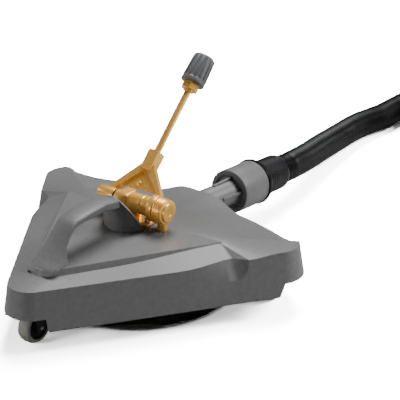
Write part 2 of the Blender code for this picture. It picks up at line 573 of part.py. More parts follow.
def make_swivel():
    """The fixed brass line across the pivot, its stem, elbow and plugs."""
    line = add("cross_tube", lathe([(0, BOSS[0] + 0.0045), (PIN_R, BOSS[0] + 0.0045), (PIN_R, TRUNNION[0]),
                                    (TRUNNION[2], TRUNNION[0]), (TRUNNION[2], BARREL[0]), (BARREL[2], BARREL[0]),
                                    (BARREL[2], BARREL[1]), (JOURNAL_R, BARREL[1]), (JOURNAL_R, ELBOW[1]),
                                    (0, ELBOW[1])], 22), BRASS, matrix=CROSS)
    side = BLOCK[2] / 2
    block = add("block", box((BLOCK[0], PIVOT_Y - side, PIVOT_Z - side), (BLOCK[1] - 0.0005, PIVOT_Y + side, PIVOT_Z + side)),
                BRASS)
    bevel = block.modifiers.new("edges", "BEVEL")
    bevel.width, bevel.segments = 0.002, 1
    stem = add("stem", lathe(rod(STEM_TUBE_R, SHAFT_HIGH + 0.0028, PIVOT_Z - 0.004), 18), BRASS)
    combine(line, [block, stem], "UNION")
    add("stem_seal", lathe(tube(0.0080, 0.0034, SHAFT_HIGH + CLEAR, SHAFT_HIGH + 0.0025), 16), RUBBER)
    plate = TOP_Z + 0.0008 + CLEAR
    flange = add("stem_flange", prism([(-0.029, -0.0165), (0.033, -0.0165), (0.033, 0.0115), (-0.029, 0.0115)],
                                      plate, plate + 0.0055), BRASS)
    edges = flange.modifiers.new("edges", "BEVEL")
    edges.width, edges.segments = 0.0015, 1
    cutters = [add("bore", drill(STEM_TUBE_R + CLEAR, plate - 0.01, plate + 0.02, 18), BRASS)]
    cutters += [add("bore", drill(SCREW_R + CLEAR, plate - 0.01, plate + 0.02, 10), BRASS,
                    matrix=Matrix.Translation((x, PIVOT_Y, 0))) for x in FLANGE_SCREWS]
    combine(flange, cutters, "DIFFERENCE")
    for name, x in zip(("left", "right"), FLANGE_SCREWS):
        top = plate + 0.0055
        add(f"flange_screw_{name}", lathe([(0, top - 0.0130), (SCREW_R, top - 0.0125), (SCREW_R, top + CLEAR),
                                           (0.0042, top + CLEAR), (0.0042, top + 0.0030), (0.0034, top + 0.0042),
                                           (0, top + 0.0042)], 12), STEEL, matrix=Matrix.Translation((x, PIVOT_Y, 0)))
    add("seal_sleeve", lathe(tube(SLEEVE[2], JOURNAL_R + CLEAR, SLEEVE[0], SLEEVE[1], 0.0008), 22), BRASS, matrix=CROSS)
    elbow = add("feed_elbow", lathe(tube(ELBOW[2], JOURNAL_R + CLEAR, ELBOW[0], ELBOW[1], 0.0015), 22), BRASS,
                matrix=CROSS)
    low = TOP_Z + 0.0008 + CLEAR
    stub = add("stub", lathe(tube(STUB_R, 0.0045, low, PIVOT_Z - 0.0135), 16), BRASS,
               matrix=Matrix.Translation((STUB_X, PIVOT_Y, 0)))
    combine(elbow, [stub], "UNION")
    add("end_plug", lathe([(0, PLUG[0]), (PLUG[2], PLUG[0]), (PLUG[2], PLUG[0] + 0.0022), (PLUG[2] - 0.0040, PLUG[0] + 0.0034),
                           (PLUG[2] - 0.0040, PLUG[1] - 0.0008), (PLUG[2] - 0.0048, PLUG[1]), (0, PLUG[1])], 22),
        BRASS, matrix=CROSS)
    add("pivot_ring_left", lathe(tube(BOSS[2] - 0.0008, PIN_R + CLEAR, BOSS[1] + CLEAR, TRUNNION[0] - CLEAR), 18), RUBBER,
        matrix=CROSS)


def make_yoke():
    """The brass fork that tilts on the cross axis and holds the lance."""
    eyes = [add("yoke", lathe(tube(BOSS[2], PIN_R + CLEAR, BOSS[0], BOSS[1], 0.0008), 22), BRASS, matrix=CROSS),
            add("eye", lathe(tube(EYE[2], JOURNAL_R + CLEAR, EYE[0], EYE[1], 0.0010), 24), BRASS, matrix=CROSS)]
    half = 0.0055
    left, right = BOSS[1] - 0.0050, EYE[0] + 0.0006
    arms = [[(left - 0.0125, 0.0090), (left - 0.0010, 0.0095), (0.0035, FORK_REACH - 0.004), (-0.0085, FORK_REACH + 0.002)],
            [(right, 0.0175), (right + 0.0083, 0.0160), (0.0075, FORK_REACH + 0.002), (-0.0035, FORK_REACH - 0.006)]]
    upright = Matrix(((1, 0, 0, 0), (0, 0, -1, 0), (0, 1, 0, 0), (0, 0, 0, 1)))
    parts = [eyes[1]]
    parts += [add("arm", prism(arm, -half, half), BRASS, matrix=LANCE @ upright) for arm in arms]
    web = [(left - 0.004, 0.0185), (right + 0.003, 0.0205), (0.001, FORK_REACH - 0.002)]
    parts.append(add("web", prism(web, -0.0015, 0.0015), BRASS, matrix=LANCE @ upright))
    side = SOCKET_SIDE / 2
    socket = add("socket", prism([(-side, -side), (side, -side), (side, side), (-side, side)],
                                 FORK_REACH - 0.0085, SOCKET_END), BRASS, matrix=LANCE)
    bevel = socket.modifiers.new("edges", "BEVEL")
    bevel.width, bevel.segments = 0.0015, 1
    combine(eyes[0], parts + [socket], "UNION")
    combine(eyes[0], [add("bore", drill(TUBE_R + CLEAR, FORK_REACH + 0.004, SOCKET_END + 0.01, 16), BRASS,
                          matrix=LANCE)], "DIFFERENCE")


make_swivel()
make_yoke()
add("pivot_screw", lathe([(0, BOSS[0] + 0.0005), (0.0058, BOSS[0] + 0.0005), (0.0058, BOSS[0] + 0.0042),
                          (0, BOSS[0] + 0.0042)], 14), STEEL, matrix=CROSS)
add("lance_tube", lathe(tube(TUBE_R, TUBE_BORE, FORK_REACH + 0.0045, TUBE_END), 16), BRASS, matrix=LANCE)
hexagon = add("lance_hex", prism(polygon(6, HEX_R), HEX_LOW, HEX_HIGH), BRASS, matrix=LANCE)
combine(hexagon, [add("bore", drill(TUBE_R + CLEAR, HEX_LOW - 0.01, HEX_HIGH + 0.01, 16), BRASS, matrix=LANCE)],
        "DIFFERENCE")
add("lance_nipple", lathe(tube(0.0088, TUBE_R + CLEAR, HEX_HIGH + 0.0052, TUBE_END + 0.006, 0.001), 16), BRASS,
    matrix=LANCE)
add("lance_oring", lathe(tube(0.0084, 0.0050, TUBE_END + 0.0063, TUBE_END + 0.0088), 16), RUBBER, matrix=LANCE)
add("union_nut", lathe([(TUBE_R + 0.0012, NUT_LOW), (NUT_R_LOW - 0.002, NUT_LOW), (NUT_R_LOW, NUT_LOW + 0.002),
                        (NUT_R_LOW - 0.0005, NUT_LOW + 0.014), (NUT_R_HIGH, NUT_HIGH - 0.003),
                        (NUT_R_HIGH - 0.002, NUT_HIGH), (0.0112, NUT_HIGH), (0.0102, NUT_HIGH - 0.002),
                        (0.0102, NUT_LOW + 0.0045), (TUBE_R + 0.0012, NUT_LOW + 0.0045)], 24), NUT_GREY, matrix=LANCE)


# ---------------------------------------------------------------- dirty-water line

def section(y, z, tilt, half_x, half_z, grow, square):
    """One rounded-box ring of the duct; tilt is the angle of its travel above +Y, in degrees."""
    ring = []
    for i in range(20):
        angle = 2 * math.pi * (i + 0.5) / 20
        c, s = math.cos(angle), math.sin(angle)
        across = (half_x + grow) * math.copysign(abs(c) ** square, c)
        up = (half_z + grow) * math.copysign(abs(s) ** square, s)
        turn = math.radians(tilt)
        ring.append(Vector((across, y - up * math.sin(turn), z + up * math.cos(turn))))
    return ring


def make_duct():
    """The duct from the deck's port up and back to the neck, and the jet that drives it."""
    neck_in = OUTLET @ Vector((0, 0, -NECK_LENGTH - CLEAR))
    top = DECK_TOP + CLEAR
    path = [(DUCT_Y, top, 90, DUCT_HALF_X - 0.002, DUCT_HALF_Y - 0.002, 0.35),
            (DUCT_Y + 0.001, top + 0.0030, 80, DUCT_HALF_X - 0.002, DUCT_HALF_Y - 0.002, 0.35),
            (DUCT_Y + 0.0075, top + 0.0075, 40, DUCT_HALF_X - 0.002, 0.0080, 0.4),
            (DUCT_Y + 0.0200, top + 0.0092, 0, DUCT_HALF_X - 0.003, 0.0068, 0.45),
            (holder_r + 0.0005, top + 0.0087, 0, DUCT_HALF_X - 0.0115, 0.0064, 0.60),
            (neck_in.y - 0.0012, neck_in.z, -OUTLET_FALL, NECK_R - 0.0028, NECK_R - 0.0028, 1.0),
            (neck_in.y, neck_in.z, -OUTLET_FALL, NECK_R - 0.0028, NECK_R - 0.0028, 1.0)]
    outer = [section(*place[:5], 0.0018, place[5]) for place in path]
    inner = [section(*place[:5], 0.0, place[5]) for place in path]
    duct = add("suction_duct", loft(outer + inner[::-1], closed=True), BLACK_PLASTIC)
    jet = Matrix.Translation((0, DUCT_Y - DUCT_HALF_Y - 0.002, top + 0.0060)) @ Matrix.Rotation(math.radians(-90), 4, "X")
    combine(duct, [add("bore", drill(0.0042, -0.004, 0.016, 12), BLACK_PLASTIC, matrix=jet)], "DIFFERENCE")
    add("ejector_nozzle", lathe([(0.0015, -0.004), (0.0038, -0.004), (0.0038, 0.007), (0.0022, 0.012), (0.0015, 0.012)], 12),
        BRASS, matrix=jet)
    start, end = Vector((STUB_X, PIVOT_Y, TOP_Z - 0.0002)), jet @ Vector((0, 0, -0.0043))
    bend = Vector((STUB_X, PIVOT_Y, end.z))
    knots = [start, start.lerp(bend, 0.45), bend + Vector((-0.002, 0.010, 0.0)), Vector((0.046, 0.045, end.z)),
             Vector((0.014, end.y - 0.030, end.z)), end - Vector((0, 0.016, 0)), end - Vector((0, 0.008, 0)), end]
    pipe_curve("ejector_pipe", smooth_path(knots, 26, ends=(Vector((0, 0, -1)), Vector((0, 1, 0)))), 0.0038, BRASS, 3)


def smooth_path(knots, count, ends=None):
    """Evenly shared points on a Catmull-Rom curve through the knots."""
    first = knots[0] - ends[0] * (knots[1] - knots[0]).length if ends else 2 * knots[0] - knots[1]
    last = knots[-1] + ends[1] * (knots[-1] - knots[-2]).length if ends else 2 * knots[-1] - knots[-2]
    padded = [first] + knots + [last]
    fine = []
    for a, b, c, d in zip(padded, padded[1:], padded[2:], padded[3:]):
        for i in range(24):
            t = i / 24
            fine.append(0.5 * ((2 * b) + (c - a) * t + (2 * a - 5 * b + 4 * c - d) * t * t
                               + (3 * b - a - 3 * c + d) * t ** 3))
    fine.append(knots[-1])
    lengths = [0.0]
    for a, b in zip(fine, fine[1:]):
        lengths.append(lengths[-1] + (b - a).length)
    points, at = [], 0
    for i in range(count):
        target = lengths[-1] * i / (count - 1)
        while at < len(fine) - 2 and lengths[at + 1] < target:
            at += 1
        share = (target - lengths[at]) / max(1e-9, lengths[at + 1] - lengths[at])
        points.append(fine[at].lerp(fine[at + 1], share))
    return points


def pipe_curve(name, points, radius, material, resolution):
    """A round tube along points, as a bevelled poly curve with filled caps."""
    curve = bpy.data.curves.new(name, "CURVE")
    curve.dimensions = "3D"
    spline = curve.splines.new("POLY")
    spline.points.add(len(points) - 1)
    for knot, point in zip(spline.points, points):
        knot.co = (*point, 1)
    curve.bevel_depth, curve.bevel_resolution, curve.use_fill_caps = radius, resolution, True
    curve.render_resolution_u = 0
    curve.materials.append(material)
    piece = bpy.data.objects.new(name, curve)
    bpy.context.collection.objects.link(piece)
    piece.parent = base
    return piece


def make_outlet():
    """Neck, collar, seal and the hose's cuff, one behind the other on the falling axis."""
    neck_in, recess, web = NECK_R - NECK_WALL, 0.0035, 0.0030
    inside = COLLAR_R - COLLAR_WALL
    collar = add("outlet_collar", lathe([(neck_in, -NECK_LENGTH), (NECK_R, -NECK_LENGTH), (NECK_R, recess), (DISH_R, recess),
                                         (DISH_R + 0.0015, 0), (COLLAR_R - 0.0012, 0), (COLLAR_R, 0.0012),
                                         (COLLAR_R, COLLAR_LENGTH), (inside, COLLAR_LENGTH), (inside, recess + web),
                                         (neck_in, recess + web)], 32), COLLAR_GREY, matrix=OUTLET)
    ribs = []
    for angle in (190, 270, 350):
        rib = [(NECK_R - 0.001, -0.040), (NECK_R + 0.0020, -0.040), (NECK_R + 0.0040, -0.002),
               (DISH_R + 0.001, recess + 0.001), (NECK_R - 0.001, recess + 0.001)]
        flat = Matrix(((1, 0, 0, 0), (0, 0, -1, 0), (0, 1, 0, 0), (0, 0, 0, 1)))
        ribs.append(add("rib", prism(rib, -0.0022, 0.0022), COLLAR_GREY,
                        matrix=OUTLET @ Matrix.Rotation(math.radians(angle), 4, "Z") @ flat))
    combine(collar, ribs, "UNION")
    seal_low = COLLAR_LENGTH + CLEAR
    spigot = NECK_R + 0.0010
    add("collar_seal", lathe(tube(SEAL_R, spigot + CLEAR, seal_low, seal_low + SEAL_LENGTH, 0.0015), 28), RUBBER,
        matrix=OUTLET)
    low = seal_low + SEAL_LENGTH + CLEAR
    add("hose_cuff", lathe([(CUFF_BORE, 0.030), (spigot, 0.030), (spigot, low), (CUFF_R, low), (CUFF_R + 0.0012, low + 0.0015),
                            (CUFF_R + 0.0012, low + 0.008), (CUFF_R, low + 0.0095), (CUFF_R - 0.0012, low + CUFF_LENGTH - 0.002),
                            (CUFF_R - 0.003, low + CUFF_LENGTH), (CUFF_BORE, low + CUFF_LENGTH)], 28), BLACK_PLASTIC,
        matrix=OUTLET)
    return OUTLET @ Vector((0, 0, low + CUFF_LENGTH + 2 * CLEAR)), OUTLET.to_3x3() @ UP


def make_hose(exit_point, direction):
    """The free hose: the stretch that lies open, and the coil with its tail cuff."""
    entry = Vector((COIL_X - 0.253, COIL_ENTRY_Y - 2 * CLEAR, HOSE_R + COIL_LIFT))
    knots = [exit_point, exit_point + 0.011 * direction, exit_point + 0.023 * direction]
    knots += [Vector(p) for p in HOSE_ROUTE] + [entry]
    pipe_curve("suction_hose", smooth_path(knots, 16, ends=(direction, Vector((0, 1, 0)))), HOSE_R, RUBBER, 3)
    low, lobe = COIL_LIFT, HOSE_R
    mid = low + lobe
    outline = []
    for centre, angles in ((0.253, range(-80, 121, 40)), (0.207, range(60, 271, 42))):
        outline += [(centre + lobe * math.cos(math.radians(a)), mid + lobe * math.sin(math.radians(a))) for a in angles]
    here = Matrix.Translation((COIL_X, COIL_Y, 0))
    coil = add("hose_coil", lathe(outline, 56), RUBBER, matrix=here)
    rings = []
    for i in range(29):
        turn = math.radians(TOP_TURN_START + (TOP_TURN_END - TOP_TURN_START) * i / 28)
        rise = smoothstep((i - 21) / 7)
        facing = turn + math.radians(TAIL_TOE_IN) * rise
        centre = Vector((0.230 * math.cos(turn), 0.230 * math.sin(turn), mid + 0.0390 + 0.0090 * rise))
        rings.append([centre + Vector((lobe * math.cos(a) * math.cos(facing), lobe * math.cos(a) * math.sin(facing),
                                       lobe * math.sin(a))) for a in (2 * math.pi * k / 10 for k in range(10))])
    top = add("top_turn", loft(rings), RUBBER, matrix=here)
    lead = add("lead_in", lathe(rod(lobe, COIL_ENTRY_Y, COIL_Y), 16), RUBBER,
               matrix=Matrix.Translation((COIL_X - 0.253, 0, mid)) @ Matrix.Rotation(math.radians(-90), 4, "X"))
    combine(coil, [top, lead], "UNION")
    heading = Matrix.Rotation(facing - math.radians(90), 4, "Z") @ ALONG_X
    add("hose_end_cuff", lathe(tube(END_CUFF_R, CUFF_BORE, CLEAR, END_CUFF_LENGTH, 0.0015), 22), BLACK_PLASTIC,
        matrix=here @ Matrix.Translation(centre) @ heading)


TOP_TURN_START, TOP_TURN_END, TAIL_TOE_IN = -112.0, -375.0, -12.0
make_duct()
make_hose(*make_outlet())
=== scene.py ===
"""Finished look of a flat surface cleaner: moulded hood, brass swivel, casters, brush and suction hose."""
import json
import logging
import math
from dataclasses import dataclass, field
from enum import Enum
from typing import Iterable, Optional, Sequence, Union

import bmesh
import bpy
from mathutils import Matrix, Vector


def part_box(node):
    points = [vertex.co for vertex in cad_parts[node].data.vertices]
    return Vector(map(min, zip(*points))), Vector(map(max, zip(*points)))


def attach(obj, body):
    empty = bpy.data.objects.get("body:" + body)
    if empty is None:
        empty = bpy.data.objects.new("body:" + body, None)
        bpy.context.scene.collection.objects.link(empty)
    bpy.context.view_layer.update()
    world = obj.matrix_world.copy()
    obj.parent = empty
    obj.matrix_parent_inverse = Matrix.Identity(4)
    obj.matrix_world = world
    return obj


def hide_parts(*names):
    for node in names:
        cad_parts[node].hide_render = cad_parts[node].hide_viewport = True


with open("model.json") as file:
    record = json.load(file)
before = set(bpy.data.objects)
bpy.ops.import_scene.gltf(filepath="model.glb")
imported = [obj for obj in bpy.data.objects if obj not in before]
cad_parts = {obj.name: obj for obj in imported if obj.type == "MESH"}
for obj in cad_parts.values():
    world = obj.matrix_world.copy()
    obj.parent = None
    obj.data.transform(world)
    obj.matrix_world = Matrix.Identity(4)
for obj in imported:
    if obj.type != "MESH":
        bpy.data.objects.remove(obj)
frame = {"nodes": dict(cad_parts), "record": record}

LOG = logging.getLogger("surface_cleaner")
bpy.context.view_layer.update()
Point = tuple[float, float]
Spot = tuple[float, float, float]
Span = tuple[float, float, float]       # from, to and radius along an axis
Tone = tuple[float, float, float]

ON_AXIS = 1e-7          # radius below which a corner is on the axis
SLIVER = 1e-6           # slack where places round the hood are compared
CLEAR = 0.0003          # gap between pieces that meet
EDGE_ANGLE = 28         # degrees from which an edge is rounded
SAME = Matrix.Identity(4)

SHAFT_LOW, SHAFT_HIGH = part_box("rotor_shaft")
AXIS_Y = (SHAFT_LOW[1] + SHAFT_HIGH[1]) / 2
AT_ROTOR = Matrix.Translation((0, AXIS_Y, 0))
ALONG_X = Matrix.Rotation(math.radians(90), 4, "Y")
PIVOT = Vector((0, -0.008, 0.1365))
AT_PIVOT = Matrix.Translation(PIVOT)
CROSS = AT_PIVOT @ ALONG_X
LEAN = 45               # degrees the lance leans back at rest
LANCE = AT_PIVOT @ Matrix.Rotation(-math.radians(LEAN), 4, "X")
UPRIGHT = Matrix(((1, 0, 0, 0), (0, 0, -1, 0), (0, 1, 0, 0), (0, 0, 0, 1)))
OUTLET_AT, OUTLET_FALL = (0, 0.2229, 0.0705), 3.75
OUTLET = Matrix.Translation(OUTLET_AT) @ Matrix.Rotation(-math.radians(90 + OUTLET_FALL), 4, "X")


class Body(Enum):
    """Bodies of the machine that the pieces ride on."""

    HOOD = "hood"
    LANCE = "lance"
    NUT = "coupling_nut"


# ------------------------------------------------------------------ shader and node helpers

class Wire:
    """A shader value that takes part in Python sums."""

    def __init__(self, graph: "Graph", socket: bpy.types.NodeSocket) -> None:
        """Wrap an output socket."""
        self.graph, self.socket = graph, socket

    def _maths(self, operation: str, first: Union["Wire", float], second: Union["Wire", float]) -> "Wire":
        """Add one Math node."""
        return self.graph.add("ShaderNodeMath", {"operation": operation}, {0: first, 1: second})

    def __add__(self, other: Union["Wire", float]) -> "Wire":
        """self + other."""
        return self._maths("ADD", self, other)

    __radd__ = __add__

    def __sub__(self, other: Union["Wire", float]) -> "Wire":
        """self - other."""
        return self._maths("SUBTRACT", self, other)

    def __rsub__(self, other: Union["Wire", float]) -> "Wire":
        """other - self."""
        return self._maths("SUBTRACT", other, self)

    def __mul__(self, other: Union["Wire", float]) -> "Wire":
        """self * other."""
        return self._maths("MULTIPLY", self, other)

    __rmul__ = __mul__


class Graph:
    """A node tree with one method for every kind of node."""

    def __init__(self, tree: bpy.types.NodeTree) -> None:
        """Wrap a tree."""
        self.tree = tree

    def add(self, kind: str, settings: Optional[dict] = None, inputs: Optional[dict] = None,
            output: Union[int, str] = 0) -> Wire:
        """Add a node.

        Args:
            kind: the node's type.
            settings: attributes set first.
            inputs: values or wires by socket name or number.
            output: the output to return.

        Returns:
            The wire from that output.
        """
        node = self.tree.nodes.new(kind)
        for key, value in (settings or {}).items():
            setattr(node, key, value)
        for key, value in (inputs or {}).items():
            if isinstance(value, Wire):
                self.tree.links.new(value.socket, node.inputs[key])
            else:
                node.inputs[key].default_value = value
        return Wire(self, node.outputs[output])


@dataclass(frozen=True)
class Finish:
    """A moulded, machined or rubber surface with its own grain.

    Attributes name the record's slot, the two tones that mottle into each other, the roughness and how far
    it varies, the mottle's and the grain's scale in cells per metre, the grain's height in metres, how much
    of it shows as pale flecks, and how strongly the surface mirrors.
    """

    name: str
    slot: str
    tone: Tone
    worn: Tone
    roughness: float
    spread: float = 0.08
    metallic: float = 0.0
    mottle: float = 40.0
    grain: float = 1800.0
    depth: float = 0.00006
    speckle: float = 0.0
    shine: float = 0.5

    def material(self) -> bpy.types.Material:
        """The finish's material, made once."""
        known = bpy.data.materials.get(self.name)
        if known:
            return known
        material = bpy.data.materials.new(self.name)
        material.use_nodes = True
        tree = material.node_tree
        graph = Graph(tree)
        shader = tree.nodes["Principled BSDF"]
        shader.inputs["Metallic"].default_value = self.metallic
        shader.inputs["Specular IOR Level"].default_value = self.shine
        place = graph.add("ShaderNodeTexCoord", output="Object")
        cloud = graph.add("ShaderNodeTexNoise", None,
                          {"Vector": place, "Scale": self.mottle, "Detail": 5.0, "Roughness": 0.6})
        fine = graph.add("ShaderNodeTexNoise", None, {"Vector": place, "Scale": self.grain, "Detail": 2.0})
        mask = graph.add("ShaderNodeMapRange", None,
                         {"Value": cloud, "From Min": 0.35, "From Max": 0.7})
        colour = graph.add("ShaderNodeMix", {"data_type": "RGBA"},
                           {"Factor": mask, "A": (*self.tone, 1), "B": (*self.worn, 1)}, output=2)
        if self.speckle:
            flecks = graph.add("ShaderNodeMapRange", None,
                               {"Value": fine, "From Min": 0.52, "From Max": 0.68, "To Max": self.speckle})
            pale = tuple(min(1.0, c * 1.9) for c in self.worn)
            colour = graph.add("ShaderNodeMix", {"data_type": "RGBA"},
                               {"Factor": flecks, "A": colour, "B": (*pale, 1)}, output=2)
        tree.links.new(colour.socket, shader.inputs["Base Color"])
        rough = self.roughness + self.spread * (cloud - 0.5) * 2.0 + self.spread * (fine - 0.5)
        tree.links.new(rough.socket, shader.inputs["Roughness"])
        bump = graph.add("ShaderNodeBump", None,
                         {"Height": fine, "Distance": self.depth, "Strength": 1.0})
        tree.links.new(bump.socket, shader.inputs["Normal"])
        material.diffuse_color = (*self.tone, 1)
        return material


HOOD = Finish("moulded_hood", "hood_grey", (0.112, 0.112, 0.113), (0.130, 0.130, 0.131), 0.42,
              mottle=160.0, grain=1500.0, depth=0.00005, speckle=0.08, shine=0.4)
COLLAR = Finish("moulded_collar", "collar_grey", (0.118, 0.118, 0.119), (0.135, 0.135, 0.136), 0.42,
                mottle=120.0, shine=0.4)
BLACK = Finish("black_moulding", "black_plastic", (0.008, 0.008, 0.009), (0.016, 0.016, 0.017), 0.36,
               shine=0.3)
BRASS = Finish("machined_brass", "brass", (0.98, 0.56, 0.13), (0.86, 0.44, 0.08), 0.30, 0.10, 0.62,
               mottle=70.0, grain=2500.0, depth=0.000004)
STEEL = Finish("turned_steel", "steel", (0.52, 0.52, 0.53), (0.42, 0.42, 0.42), 0.3, 0.1, 1.0,
               depth=0.00002)
PLATE = Finish("deck_sheet", "deck_steel", (0.36, 0.36, 0.37), (0.28, 0.28, 0.28), 0.42, 0.12, 1.0,
               depth=0.00002)
TYRE = Finish("tyre_rubber", "tyre_grey", (0.27, 0.27, 0.245), (0.20, 0.195, 0.18), 0.62, mottle=90.0)
RUBBER = Finish("hose_rubber", "rubber", (0.004, 0.004, 0.004), (0.008, 0.008, 0.008), 0.30,
                mottle=25.0, shine=0.16)
NUT = Finish("nut_moulding", "nut_grey", (0.085, 0.086, 0.09), (0.12, 0.12, 0.125), 0.42, grain=1400.0)
BRISTLE = Finish("nylon_bristle", "bristle_black", (0.012, 0.011, 0.010), (0.03, 0.028, 0.026), 0.55,
                 mottle=300.0)

FRAME_FINISHES = {finish.slot: finish for finish in
                  (HOOD, COLLAR, BLACK, BRASS, STEEL, PLATE, TYRE, RUBBER, NUT, BRISTLE)}


# ------------------------------------------------------------------ mesh helpers

def lathe(profile: Sequence[Point], sides: int = 72) -> bmesh.types.BMesh:
    """Turn a closed outline about Z.

    Args:
        profile: (radius, height) corners; one on the axis stays one point.
        sides: faces round.

    Returns:
        The closed mesh.
    """
    bm = bmesh.new()
    rings = []
    for r, z in profile:
        if r < ON_AXIS:
            rings.append([bm.verts.new((0, 0, z))] * sides)
        else:
            rings.append([bm.verts.new((r * math.cos(a), r * math.sin(a), z))
                          for a in (2 * math.pi * i / sides for i in range(sides))])
    for low, high in zip(rings, rings[1:] + rings[:1]):
        for i in range(sides):
            j = (i + 1) % sides
            corners = list(dict.fromkeys((low[i], low[j], high[j], high[i])))
            if len(corners) > 2:
                bm.faces.new(corners)
    return bm


def rounded(profile: Sequence[Point], r: float, steps: int = 3) -> list[Point]:
    """Round the corners of a closed outline that stand off the axis.

    Args:
        profile: the sharp outline.
        r: most that is taken off each side of a corner.
        steps: points less one on each round.

    Returns:
        The outline with rounds.
    """
    result = []
    count = len(profile)
    for i, corner in enumerate(profile):
        here = Vector(corner)
        before, after = Vector(profile[i - 1]), Vector(profile[(i + 1) % count])
        if here.x < ON_AXIS:
            result.append(corner)
            continue
        take = min(r, 0.45 * (before - here).length, 0.45 * (after - here).length)
        start, end = here + (before - here).normalized() * take, here + (after - here).normalized() * take
        for k in range(steps + 1):
            t = k / steps
            point = start * (1 - t) ** 2 + here * (2 * t * (1 - t)) + end * t ** 2
            result.append((point.x, point.y))
    return result


def tube(bore: float, span: Span) -> list[Point]:
    """Outline of a plain tube."""
    low, high, r = span
    return [(bore, low), (r, low), (r, high), (bore, high)]


def prism(outline: Sequence[Point], low: float, high: float) -> bmesh.types.BMesh:
    """Extrude (x, y) corners from low to high along Z."""
    bm = bmesh.new()
    bottom = [bm.verts.new((x, y, low)) for x, y in outline]
    top = [bm.verts.new((x, y, high)) for x, y in outline]
    bm.faces.new(bottom[::-1])
    bm.faces.new(top)
    for i in range(len(outline)):
        j = (i + 1) % len(outline)
        bm.faces.new((bottom[i], bottom[j], top[j], top[i]))
    return bm


def loft(rings: Sequence[Sequence[Vector]], closed: bool = False) -> bmesh.types.BMesh:
    """Skin equal rings.

    Args:
        rings: the rings, in order.
        closed: join the last ring to the first instead of capping the ends.

    Returns:
        The closed mesh.
    """
    bm = bmesh.new()
    loops = [[bm.verts.new(p) for p in ring] for ring in rings]
    count = len(loops[0])
    pairs = list(zip(loops, loops[1:])) + ([(loops[-1], loops[0])] if closed else [])
    for one, two in pairs:
        for i in range(count):
            j = (i + 1) % count
            bm.faces.new((one[i], one[j], two[j], two[i]))
    if not closed:
        bm.faces.new(loops[0][::-1])
        bm.faces.new(loops[-1])
    return bm


def merged(parts: Iterable[tuple[bmesh.types.BMesh, Matrix]]) -> bmesh.types.BMesh:
    """Put several meshes, each at its matrix, in one."""
    whole = bmesh.new()
    for part, matrix in parts:
        scratch = bpy.data.meshes.new("scratch")
        bmesh.ops.recalc_face_normals(part, faces=part.faces)
        part.to_mesh(scratch)
        part.free()
        scratch.transform(matrix)
        whole.from_mesh(scratch)
        bpy.data.meshes.remove(scratch)
    return whole


def smoothstep(x: float) -> float:
    """0 to 1 with level ends."""
    x = min(1.0, max(0.0, x))
    return x * x * (3 - 2 * x)


def place(name: str, bm: bmesh.types.BMesh, finish: Finish, body: str, nodes: Sequence[str] = (),
          matrix: Matrix = SAME, bevel: float = 0.0, sharp: float = 32.0) -> bpy.types.Object:
    """Make a finished piece.

    Args:
        name: the piece's name.
        bm: its mesh, which is freed.
        finish: its finish.
        body: the body it rides on.
        nodes: CAD nodes it stands for.
        matrix: its place from the rotor's axis.
        bevel: width of its edge rounds.
        sharp: angle in degrees from which an edge shows.

    Returns:
        The object.
    """
    bmesh.ops.recalc_face_normals(bm, faces=bm.faces)
    mesh = bpy.data.meshes.new(name)
    bm.to_mesh(mesh)
    bm.free()
    mesh.transform(AT_ROTOR @ matrix)
    piece = bpy.data.objects.new(name, mesh)
    bpy.context.collection.objects.link(piece)
    mesh.materials.append(finish.material())
    mesh.shade_smooth()
    mesh.set_sharp_from_angle(angle=math.radians(sharp))
    if bevel:
        edges = piece.modifiers.new("edges", "BEVEL")
        edges.width, edges.segments, edges.limit_method = bevel, 3, "ANGLE"
        edges.angle_limit = math.radians(EDGE_ANGLE)
        edges.harden_normals = True
    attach(piece, body)
    if nodes:
        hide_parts(*nodes)
    LOG.info("%s on %s", name, body)
    return piece


